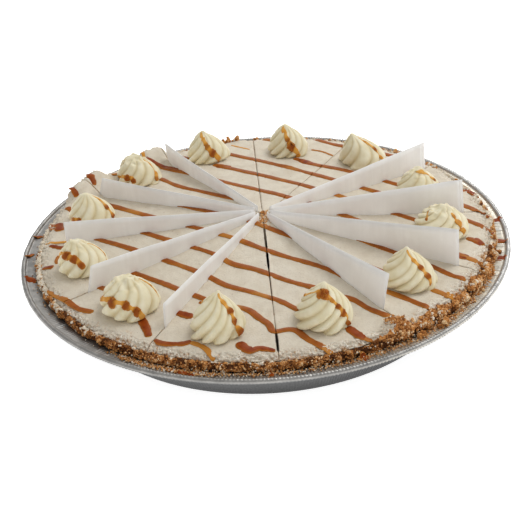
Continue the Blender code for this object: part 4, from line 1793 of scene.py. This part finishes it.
@dataclass
class CaramelRibbons:
    """The caramel on one slice and on the swirl that stands there."""

    layout: PieLayout
    number: int
    swirl: CreamSwirl
    width: float = 3.7 * MM
    height: float = 0.62 * MM
    sink: float = 0.5 * MM
    step: float = 0.8 * MM
    end_taper: float = 2.2 * MM
    cut_inset: float = 0.10 * MM
    drop_height: float = 0.70 * MM
    film_share: float = 0.8
    film_height: float = 0.16 * MM
    film_sink: float = 0.5 * MM
    streak_step: float = 0.4 * MM
    streak_samples: int = 24
    end_samples: int = 8
    sag: float = 0.7
    rim_inset: float = 1.6 * MM
    foot_overlap: float = 1.2 * MM
    shortest: float = 3.0 * MM
    nick: float = 0.3 * MM

    def on_slice(self, place: Vector) -> bool:
        """Test whether a ribbon's middle may lie on this slice.

        Args:
            place: Plan position of its middle.

        Returns:
            False off the cream, under the swirl and well past the cuts.
        """
        if place.length > self.layout.edge_radius - self.rim_inset:
            return False
        foot = self.swirl.place
        reach = 0.5 * self.swirl.shape.width * MM - self.foot_overlap
        if math.hypot(place.x - foot.x, place.y - foot.y) < reach:
            return False
        return self.layout.cut_depth(self.number, place) > -self.width

    def runs(self, ribbon: int) -> Iterator[Pair]:
        """Walk over the stretches of a ribbon that lie on this slice.

        Args:
            ribbon: The ribbon.

        Yields:
            Where a stretch starts and ends along the ribbon.
        """
        step = 0.5 * MM
        reach = round(self.layout.edge_radius / step)
        gaps = [gap for gap in GAPS if gap.ribbon == ribbon]
        start = None
        for count in range(-reach, reach + 2):
            along = count * step
            missing = any(gap.start <= along / MM <= gap.end for gap in gaps)
            here = count <= reach and not missing
            here = here and self.on_slice(self.layout.ribbon_point(ribbon, along))
            if here and start is None:
                start = along
            elif not here and start is not None:
                yield start, along - step
                start = None

    def swell(self, ribbon: int, along: float) -> float:
        """Return how much wider or narrower than usual a ribbon is."""
        broad, fine = (noise.noise(Vector((along / size, 5.1 * ribbon, layer)))
                       for size, layer in ((12.0 * MM, 0.0), (2.4 * MM, 9.0)))
        return 1.0 + 0.26 * broad + 0.10 * fine

    def slice_stations(self, ribbon: int, start: float, end: float) -> list[Station]:
        """Shape a stretch of a ribbon on the cream.

        Args:
            ribbon: The ribbon.
            start: Where the stretch starts along it.
            end: Where it ends.

        Returns:
            Its cross-sections.
        """
        count = max(2, round((end - start) / self.step))
        stations = []
        for index in range(count + 1):
            along = mix(start, end, index / count)
            place = self.layout.ribbon_point(ribbon, along)
            place.z = self.layout.cream_height(place)
            place.z += self.layout.waves(place)
            to_end = min(along - start, end - along) / self.end_taper
            taper = math.sqrt(min(max(to_end, 0.0), 1.0))
            swell = self.swell(ribbon, along)
            patch = noise.noise(Vector((along / (17.0 * MM), 8.3 * ribbon, 4.0)))
            full = (0.86 - 0.30 * ease(0.1, 0.5, patch)) * mix(0.6, 1.0, taper)
            stations.append(Station(place, Vector((0.0, 0.0, 1.0)),
                                    0.5 * self.width * swell * mix(0.55, 1.0, taper),
                                    self.height * swell * mix(0.5, 1.0, taper), full))
        return stations

    def dab_stations(self, dab: Dab) -> list[Station]:
        """Shape a loose strip on the cream.

        Args:
            dab: The strip.

        Returns:
            Its cross-sections.
        """
        points = [Vector((x, y, 0.0)) * MM for x, y in dab.points]
        spans = [(second - first).length for first, second in zip(points, points[1:])]
        places = [sum(spans[:index]) / sum(spans) for index in range(len(points))]
        courses = [[(place, point[axis]) for place, point in zip(places, points)]
                   for axis in (0, 1)]
        count = max(6, round(sum(spans) / (0.5 * self.step)))
        stations = []
        for index in range(count + 1):
            share = index / count
            place = Vector([curve(course, share) for course in courses]).to_3d()
            place.z = max(self.layout.cream_height(place), self.layout.edge_height)
            place.z += self.layout.waves(place)
            round_end = math.sqrt(max(1.0 - abs(2.0 * share - 1.0) ** 5, 0.0))
            uneven = 1.0 + 0.25 * wobble(place, 2.0 * MM)
            stations.append(Station(place, Vector((0.0, 0.0, 1.0)),
                                    0.5 * dab.width * MM * uneven * mix(0.3, 1.0, round_end),
                                    self.height * mix(0.4, 1.0, dab.full), dab.full))
        return stations

    def trim(self, bm: Mesh) -> None:
        """Cut a strip off at both sides of the slice.

        Args:
            bm: The strip.
        """
        for point, normal in self.layout.cut_planes(self.number, self.cut_inset):
            geometry = bm.verts[:] + bm.edges[:] + bm.faces[:]
            bmesh.ops.bisect_plane(bm, geom=geometry, dist=1e-6, plane_co=point,
                                   plane_no=normal, clear_outer=True)
            cap(bm)

    def streak_stations(self, tree: BVHTree, streak: Streak) -> list[Station]:
        """Shape a streak of caramel on the swirl.

        Args:
            tree: The swirl's surface.
            streak: The streak.

        Returns:
            The cross-sections, broad and tall in the drops, a film between.
        """
        samples: list[tuple[Vector, Vector, float]] = []
        for first, second in zip(streak.drops, streak.drops[1:]):
            for step in range(self.streak_samples):
                share = step / self.streak_samples
                turn = math.radians(mix(first.turn, second.turn, share))
                rise = mix(first.rise, second.rise, share)
                samples.append((*self.swirl.surface_at(tree, turn, rise),
                                mix(first.size, second.size, share)))
        last = streak.drops[-1]
        for step in range(self.end_samples + 1):
            past = 0.6 * last.full * last.size / self.swirl.shape.height * step / self.end_samples
            samples.append((*self.swirl.surface_at(tree, math.radians(last.turn),
                                                   max(last.rise - past, 0.03)), last.size))
        places = [samples[index * self.streak_samples][0] for index in range(len(streak.drops))]
        stations = []
        for point, normal, size in samples:
            if stations and (point - stations[-1].middle).length < self.streak_step:
                continue
            film = 0.5 * self.film_share * size * MM
            pool, half = 0.0, film * (1.0 + 0.3 * wobble(point, 1.7 * MM))
            for drop, place in zip(streak.drops, places):
                reach = 0.55 * drop.size * MM
                near = math.exp(-((point - place).length / reach) ** 4)
                pool = max(pool, near * drop.full)
                ragged = 1.0 + 0.35 * wobble(point + normal * MM, 1.3 * MM)
                half = max(half, near * reach * ragged)
            downhill = (normal * normal.z - Vector((0.0, 0.0, 1.0))).normalized()
            sagged = point + downhill * self.sag * max(half - film, 0.0)
            point, normal, _face, _far = tree.find_nearest(sagged)
            stations.append(Station(point, normal, half,
                                    mix(self.film_height, self.drop_height, pool),
                                    mix(-0.25, 0.90, pool)))
        self.even_out(stations)
        return stations

    @staticmethod
    def even_out(stations: list[Station], rounds: int = 2) -> None:
        """Even out the widths, heights and directions along a strip.

        Args:
            stations: The strip's cross-sections.
            rounds: How often each is averaged with its neighbours.
        """
        for _ in range(rounds):
            before = [(station.half, station.height, station.up.copy()) for station in stations]
            for index in range(1, len(stations) - 1):
                near = before[index - 1:index + 2]
                stations[index].half = sum(item[0] for item in near) / 3.0
                stations[index].height = sum(item[1] for item in near) / 3.0
                stations[index].up = (near[0][2] + near[1][2] + near[2][2]).normalized()

    def build(self, pantry: Pantry, tree: BVHTree) -> None:
        """Build the slice's ribbons and the caramel on its swirl.

        Args:
            pantry: The finishes.
            tree: The swirl's surface.
        """
        flat, over = empty_mesh("thin"), empty_mesh("thin")
        for ribbon in range(len(self.layout.ribbon_offsets)):
            for start, end in self.runs(ribbon):
                depths = [self.layout.cut_depth(self.number, self.layout.ribbon_point(
                    ribbon, mix(start, end, share / 8.0))) for share in range(9)]
                if end - start < self.shortest or max(depths) < self.nick:
                    continue
                strip = pour(self.slice_stations(ribbon, start, end), self.sink)
                self.trim(strip)
                merge_into(flat, strip)
        for dab in DABS:
            middle = Vector(dab.points[len(dab.points) // 2]).to_3d() * MM
            if self.layout.cut_depth(self.number, middle) > 0.0:
                strip = pour(self.dab_stations(dab), self.sink)
                self.trim(strip)
                merge_into(flat, strip)
        for streak in STREAKS:
            if streak.swirl == self.number:
                stations = self.streak_stations(tree, streak)
                merge_into(over, pour(stations, self.film_sink, sides=12))
        for bm, name in ((flat, "caramel_slice"), (over, "caramel_swirl")):
            bmesh.ops.recalc_face_normals(bm, faces=bm.faces)
            pantry.serve(bm, f"{name}_{self.number + 1:02d}", Slot.CARAMEL)


# ---- The paper sheets ----

@dataclass(frozen=True)
class PaperShape:
    """One folded sheet in a cut.

    Attributes:
        cut: Number of the cut.
        outer: Radius of its outer end, in mm.
        rise: Height of that end above the cream, in mm.
        slope: How far the end's top leans inwards, in mm.
        lean: How far it leans sideways, in mm.
        slide: How far one leaf has slid outwards past the other, in mm.
    """

    cut: int
    outer: float
    rise: float
    slope: float
    lean: float
    slide: float = 0.2


PAPER_SHAPES = tuple(PaperShape(*row) for row in (
    (7, 104, 13, -1.5, 1),
    (8, 110, 12.4, 7.5, 0),
    (9, 105.5, 12.8, 0, -0.6),
    (10, 106.4, 14.8, 5.2, 1, 1.2),
    (11, 102.5, 13, 0, 0.3),
    (1, 102.5, 17.5, 0.5, 3),
    (2, 109, 20, 1, -0.6),
    (3, 109, 19, 2, 0.6, 2),
    (4, 113, 16.5, 0.5, 0.4, 2.6),
))


@dataclass
class PaperSheet:
    """A sheet of baking paper, folded in two, that stands in a cut."""

    layout: PieLayout
    number: int
    inner_radius: float = 4.6 * MM
    inner_rise: float = 3.4 * MM
    foot: float = 7.0 * MM
    corner_radius: float = 97.0 * MM
    corner_height: float = 22.0 * MM
    leaf_gap: float = 0.14 * MM
    spread: float = 0.22 * MM
    fork_depth: float = 2.0 * MM
    back_drop: float = 0.3 * MM
    buckle: float = 1.2 * MM
    buckle_size: float = 30.0 * MM
    thickness: float = 0.12 * MM
    stations: int = 60
    leaf_rows: int = 12

    def build(self, pantry: Pantry) -> None:
        """Build the sheet and let it stand for its solid.

        Args:
            pantry: The finishes.
        """
        layout, shape = self.layout, PAPER_SHAPES[self.number]
        along = polar(1.0, layout.cut_angle(shape.cut))
        aside = polar(1.0, layout.cut_angle(shape.cut) + 0.5 * math.pi)
        outer = shape.outer * MM
        inner_top = layout.dome_height(self.inner_radius) + self.inner_rise
        outer_top = layout.dome_height(outer) + shape.rise * MM
        bm = bmesh.new()
        bmesh.ops.create_grid(bm, x_segments=self.stations, y_segments=2 * self.leaf_rows, size=1.0)
        seed = Vector((0.0, 0.0, 3.7 * self.number))
        for vert in bm.verts:
            share = 0.5 * (vert.co.x + 1.0)
            side = math.copysign(1.0, vert.co.y)
            up = abs(vert.co.y)
            radius = mix(self.inner_radius, outer, share)
            corner = max(0.0, (radius - self.corner_radius) / (outer - self.corner_radius))
            low = mix(self.foot, self.corner_height, corner)
            drop = self.back_drop * share if side < 0.0 else 0.0
            high = mix(inner_top, outer_top, share) - drop
            height = mix(low, high, up)
            fork = layout.dome_height(radius) - self.fork_depth
            free = min(max((height - fork) / max(high - fork, 1.0 * MM), 0.0), 1.0)
            open_share = ease(0.05, 1.0, share)
            wave = wobble(along * radius + Vector((0.0, 0.0, height)) + seed, self.buckle_size)
            offset = side * (self.leaf_gap + self.spread * open_share * free)
            offset += shape.lean * MM * share * free + self.buckle * wave * free * open_share
            slide = (0.5 * (side - 1.0) * shape.slide - shape.slope * up) * MM * share
            place = along * (radius + slide) + aside * offset
            place.z = height
            vert.co = place
        bmesh.ops.recalc_face_normals(bm, faces=bm.faces)
        bmesh.ops.solidify(bm, geom=bm.faces[:], thickness=self.thickness)
        bmesh.ops.recalc_face_normals(bm, faces=bm.faces)
        pantry.serve(bm, f"paper_sheet_{self.number + 1:02d}", Slot.PAPER,
                     f"paper_{self.number + 1:02d}")


# ---- What fell on the rim ----

@dataclass(frozen=True)
class Litter:
    """A patch of loose crumbs.

    Attributes:
        angle: Middle of the patch, in degrees.
        half_width: Half its width, in degrees.
        radius: Its distance from the pie's axis, in mm.
        spread: How far the crumbs stray from that distance, in mm.
        count: Number of crumbs.
        size: Their mean radius, in mm.
        creamed: Share of them that cream is smeared over.
        pile: How high they are heaped, in crumb sizes.
    """

    angle: float
    half_width: float
    radius: float
    spread: float
    count: int
    size: float
    creamed: float = 0.15
    pile: float = 1.1


@dataclass(frozen=True)
class Spill:
    """Caramel that ran down onto the flange.

    Attributes:
        angle: Where it lies, in degrees.
        inner: Radius where it starts, in mm.
        outer: Radius where it ends, in mm.
        slant: Angle from its start to its end, in degrees.
        width: Its width, in mm.
    """

    angle: float
    inner: float
    outer: float
    slant: float
    width: float


@dataclass
class RimLitter:
    """Crumbs on the flange and the rim, crumbs at the centre, caramel on the flange."""

    layout: PieLayout
    tin: FoilTin
    crumb_top: float = 30.8 * MM
    crumb_edge: float = 121.4 * MM
    flange_inner: float = 122.8 * MM
    flange_outer: float = 127.2 * MM
    centre_crumbs: int = 110
    spill_steps: int = 12
    spill_height: float = 0.70 * MM
    spill_sink: float = 0.4 * MM
    seed: int = 77
    loose: tuple[Litter, ...] = tuple(Litter(*row) for row in (
        (-90, 180, 123.6, 1.3, 200, 0.28),
        (-74, 54, 122.8, 0.9, 1500, 0.34),
        (-84, 42, 124, 1.2, 600, 0.32),
        (-113, 11, 124.8, 1, 240, 0.42),
        (-38, 13, 123.8, 1.2, 130, 0.46),
    ))
    lumps: tuple[Litter, ...] = tuple(Litter(*row) for row in (
        (-60.4, 3, 115, 3.6, 260, 0.26, 0.90, 0.8),
        (-61.5, 4.4, 119.7, 0.7, 190, 0.55, 0.05, 4.6),
        (-60.9, 1.3, 114.2, 1.5, 150, 0.42, 0, 2.2),
        (-59.4, 1.5, 116.8, 1.6, 170, 0.46, 0, 2.2),
        (-58.4, 1.7, 119.6, 1.6, 170, 0.50, 0, 1.8),
        (-55, 3, 119.8, 1.4, 90, 0.60, 0.10),
        (-51, 2.2, 118.6, 1.5, 90, 0.60, 0.12),
        (-47, 2.2, 119.3, 1.6, 90, 0.65, 0.08),
        (-41, 3, 120.4, 1.6, 110, 0.75, 0.04),
        (-33.5, 3, 120.8, 1.8, 130, 0.80, 0.02),
        (-25.5, 2.6, 121.8, 1.8, 120, 0.85, 0.04, 2),
        (-55.9, 1.3, 123.8, 1.2, 46, 0.75, 0, 2),
        (-49.3, 1.5, 124, 1.3, 60, 0.85, 0, 2.2),
        (-15.5, 1.4, 122.6, 1.2, 34, 0.75, 0.05),
        (-10.5, 1, 121.8, 1.2, 18, 0.60, 0.10),
        (33, 2.4, 120.6, 1.2, 30, 0.85, 0.30),
        (43.5, 2.4, 119.8, 1.2, 34, 1.00),
        (90.5, 0.8, 118.4, 0.8, 14, 0.80, 0.1, 2.4),
        (96.3, 0.7, 118.4, 0.8, 22, 0.80, 0.1, 3.6),
        (99.6, 1.6, 118.4, 1, 60, 0.90, 0.1, 2.8),
        (104, 1.2, 118.4, 0.9, 20, 0.80, 0.1, 2),
    ))
    spills: tuple[Spill, ...] = tuple(Spill(*row) for row in (
        (171.6, 124.2, 128.4, 1.4, 3.4), (-179.1, 124.6, 128.4, 2.2, 3.2),
        (-167.3, 122.4, 128.2, -2.4, 4.4), (-90.5, 122, 125.4, 0.2, 2.6),
        (-70.5, 121.8, 124.8, 0.8, 4.2), (-109.5, 124.2, 125.4, 7, 2.2),
        (0.2, 119.4, 129, 1.6, 5), (-9.4, 119.6, 128.8, -1, 4.6),
        (-17.8, 120.4, 128.4, 0.8, 5),
    ))

    def top(self, place: Vector) -> float:
        """Find the height of what lies under a place near the rim.

        Args:
            place: Plan position.

        Returns:
            Height of the cream, the crumbs, the flange or the bead.
        """
        radius = math.hypot(place.x, place.y)
        if radius <= self.layout.edge_radius:
            return self.layout.cream_height(place)
        bead = self.tin.bead_radius
        middle = self.tin.rim_radius - bead
        share = (radius - self.tin.wall_top_radius) / (middle - bead - self.tin.wall_top_radius)
        flange = mix(*self.tin.flange_top, share)
        if radius > middle - bead:
            flange = self.tin.bead_height + math.sqrt(max(bead ** 2 - (radius - middle) ** 2, 0.0))
        past = ease(self.crumb_edge, self.flange_inner, radius)
        return mix(self.crumb_top, flange, past)

    def scatter(self, rng: random.Random, patch: Litter, piled: bool) -> list[Grain]:
        """Strew the crumbs of one patch.

        Args:
            rng: Source of their places.
            patch: The patch.
            piled: Whether they are heaped up on the rim, not strewn on the flange.

        Returns:
            The crumbs.
        """
        grains = []
        for _ in range(patch.count):
            turn = rng.gauss(0.0, 0.5) if piled else rng.uniform(-1.0, 1.0)
            angle = math.radians(patch.angle + turn * patch.half_width)
            radius = (patch.radius + rng.gauss(0.0, 0.6) * patch.spread) * MM
            size = patch.size * MM * min(math.exp(rng.gauss(0.0, 0.32)), 1.5)
            place = polar(radius if piled else min(radius, self.flange_outer), angle)
            place.z = self.top(place)
            place.z += rng.uniform(*((-0.2, patch.pile) if piled else (0.3, 1.6))) * size
            tone = rng.gauss(*((0.50, 0.13) if piled else (0.60, 0.15)))
            if rng.random() < patch.creamed:
                tone = 1.0
            grains.append(Grain(place, size, min(max(tone, 0.0), 1.0)))
        return grains

    def pour_spills(self) -> Mesh:
        """Pour the caramel on the flange.

        Returns:
            One mesh.
        """
        pool = empty_mesh("thin")
        for spill in self.spills:
            stations = []
            for step in range(self.spill_steps + 1):
                share = step / self.spill_steps
                radius = mix(spill.inner, spill.outer, share) * MM
                angle = math.radians(spill.angle + spill.slant * (share - 0.5))
                place = polar(radius, angle)
                place.z = self.top(place)
                bulge = 0.35 + 0.65 * math.sin(math.pi * share) ** 0.6
                stations.append(Station(place, polar(0.3, angle, 1.0).normalized(),
                                        0.5 * spill.width * MM * bulge,
                                        self.spill_height * bulge))
            merge_into(pool, pour(stations, self.spill_sink, sides=12))
        return pool

    def build(self, pantry: Pantry) -> None:
        """Build the crumbs and the spilt caramel.

        Args:
            pantry: The finishes.
        """
        rng = random.Random(self.seed)
        strewn, piled = empty_mesh("tone"), empty_mesh("tone")
        for patch in self.loose:
            add_grains(strewn, rng, self.scatter(rng, patch, False), 1)
        pantry.serve(strewn, "loose_crumbs", Slot.CRUMB, smooth=False)
        for patch in self.lumps:
            add_grains(piled, rng, self.scatter(rng, patch, True), 2)
        centre = []
        for _ in range(self.centre_crumbs):
            place = Vector((rng.gauss(0.9, 1.6) * MM, rng.gauss(-3.0, 3.2) * MM, 0.0))
            place.z = self.layout.cream_height(place) + rng.uniform(-0.3, 0.3) * MM
            centre.append(Grain(place, rng.uniform(0.3, 0.7) * MM, rng.uniform(0.3, 0.9)))
        add_grains(piled, rng, centre, 2)
        pantry.serve(piled, "crumb_clumps", Slot.CRUMB, smooth=False)
        pool = self.pour_spills()
        bmesh.ops.recalc_face_normals(pool, faces=pool.faces)
        pantry.serve(pool, "caramel_spills", Slot.CARAMEL)


# ---- The studio ----

@dataclass(frozen=True)
class Lamp:
    """A square soft light: its name, its place and side in metres, its power in watts."""

    name: str
    place: tuple[float, float, float]
    side: float
    power: float


@dataclass
class Studio:
    """White floor, soft light and the camera."""

    lamps: tuple[Lamp, ...] = (
        Lamp("key", (0.60, 0.30, 1.1), 0.7, 7.0), Lamp("back", (0.3, 1.6, 0.9), 1.2, 5.0))
    world_strength: float = 0.55
    floor_side: float = 12.0
    focal_pixels: float = 1100.0
    distance: float = 593.4 * MM
    elevation: float = 0.535
    roll: float = -0.069
    aim_right: float = 0.418 * MM
    aim_up: float = -14.94 * MM
    rim_plane: float = 27.4 * MM
    sensor: float = 36.0

    def camera(self) -> None:
        """Place the camera where the picture was taken from."""
        forward = Vector((0.0, math.cos(self.elevation), -math.sin(self.elevation)))
        level = Vector((1.0, 0.0, 0.0))
        upright = level.cross(forward)
        right = math.cos(self.roll) * level + math.sin(self.roll) * upright
        up = -math.sin(self.roll) * level + math.cos(self.roll) * upright
        place = -forward * self.distance + right * self.aim_right + up * self.aim_up
        place.z += self.rim_plane
        lens = bpy.data.cameras.new("camera")
        lens.sensor_width = self.sensor
        lens.lens = self.sensor * self.focal_pixels / IMAGE_SIDE
        lens.clip_start = 0.01
        lens.clip_end = 50.0
        camera = bpy.data.objects.new("camera", lens)
        turn = Matrix((right, up, -forward)).transposed().to_4x4()
        camera.matrix_world = Matrix.Translation(place) @ turn
        bpy.context.scene.collection.objects.link(camera)
        bpy.context.scene.camera = camera

    @staticmethod
    def hang(lamp: Lamp) -> None:
        """Hang a light that points at the pie.

        Args:
            lamp: The light.
        """
        light = bpy.data.lights.new(lamp.name, "AREA")
        light.size = lamp.side
        light.energy = lamp.power
        hung = bpy.data.objects.new(lamp.name, light)
        hung.location = lamp.place
        hung.rotation_euler = (-Vector(lamp.place)).to_track_quat("-Z", "Y").to_euler()
        bpy.context.scene.collection.objects.link(hung)

    def build(self) -> None:
        """Set up floor, lights, background and camera."""
        bm = bmesh.new()
        bmesh.ops.create_grid(bm, x_segments=1, y_segments=1, size=0.5 * self.floor_side)
        mesh = bpy.data.meshes.new("floor")
        bm.to_mesh(mesh)
        bm.free()
        mesh.materials.append(FloorFinish().material())
        floor = bpy.data.objects.new("floor", mesh)
        bpy.context.scene.collection.objects.link(floor)
        world = bpy.data.worlds.new("studio")
        world.use_nodes = True
        around = world.node_tree.nodes["Background"].inputs
        around["Color"].default_value = (1.0, 1.0, 1.0, 1.0)
        around["Strength"].default_value = self.world_strength
        bpy.context.scene.world = world
        for lamp in self.lamps:
            self.hang(lamp)
        bpy.context.scene.view_settings.view_transform = "Standard"
        self.camera()


# ---- The whole pie ----


def main() -> None:
    """Build the studio and every piece of the pie."""
    logging.basicConfig(level=logging.INFO, format="%(message)s")
    layout = PieLayout()
    Studio().build()
    pantry = Pantry()
    tin = FoilTin()
    tin.build(pantry)
    for number in range(layout.slices):
        CrumbCrust(layout, number).build(pantry)
        CreamSlice(layout, number).build(pantry)
        swirl = CreamSwirl(layout, number)
        surface = swirl.build(pantry)
        CaramelRibbons(layout, number, swirl).build(pantry, surface)
    for number in range(len(PAPER_SHAPES)):
        PaperSheet(layout, number).build(pantry)
    RimLitter(layout, tin).build(pantry)


if __name__ == "__main__":
    main()
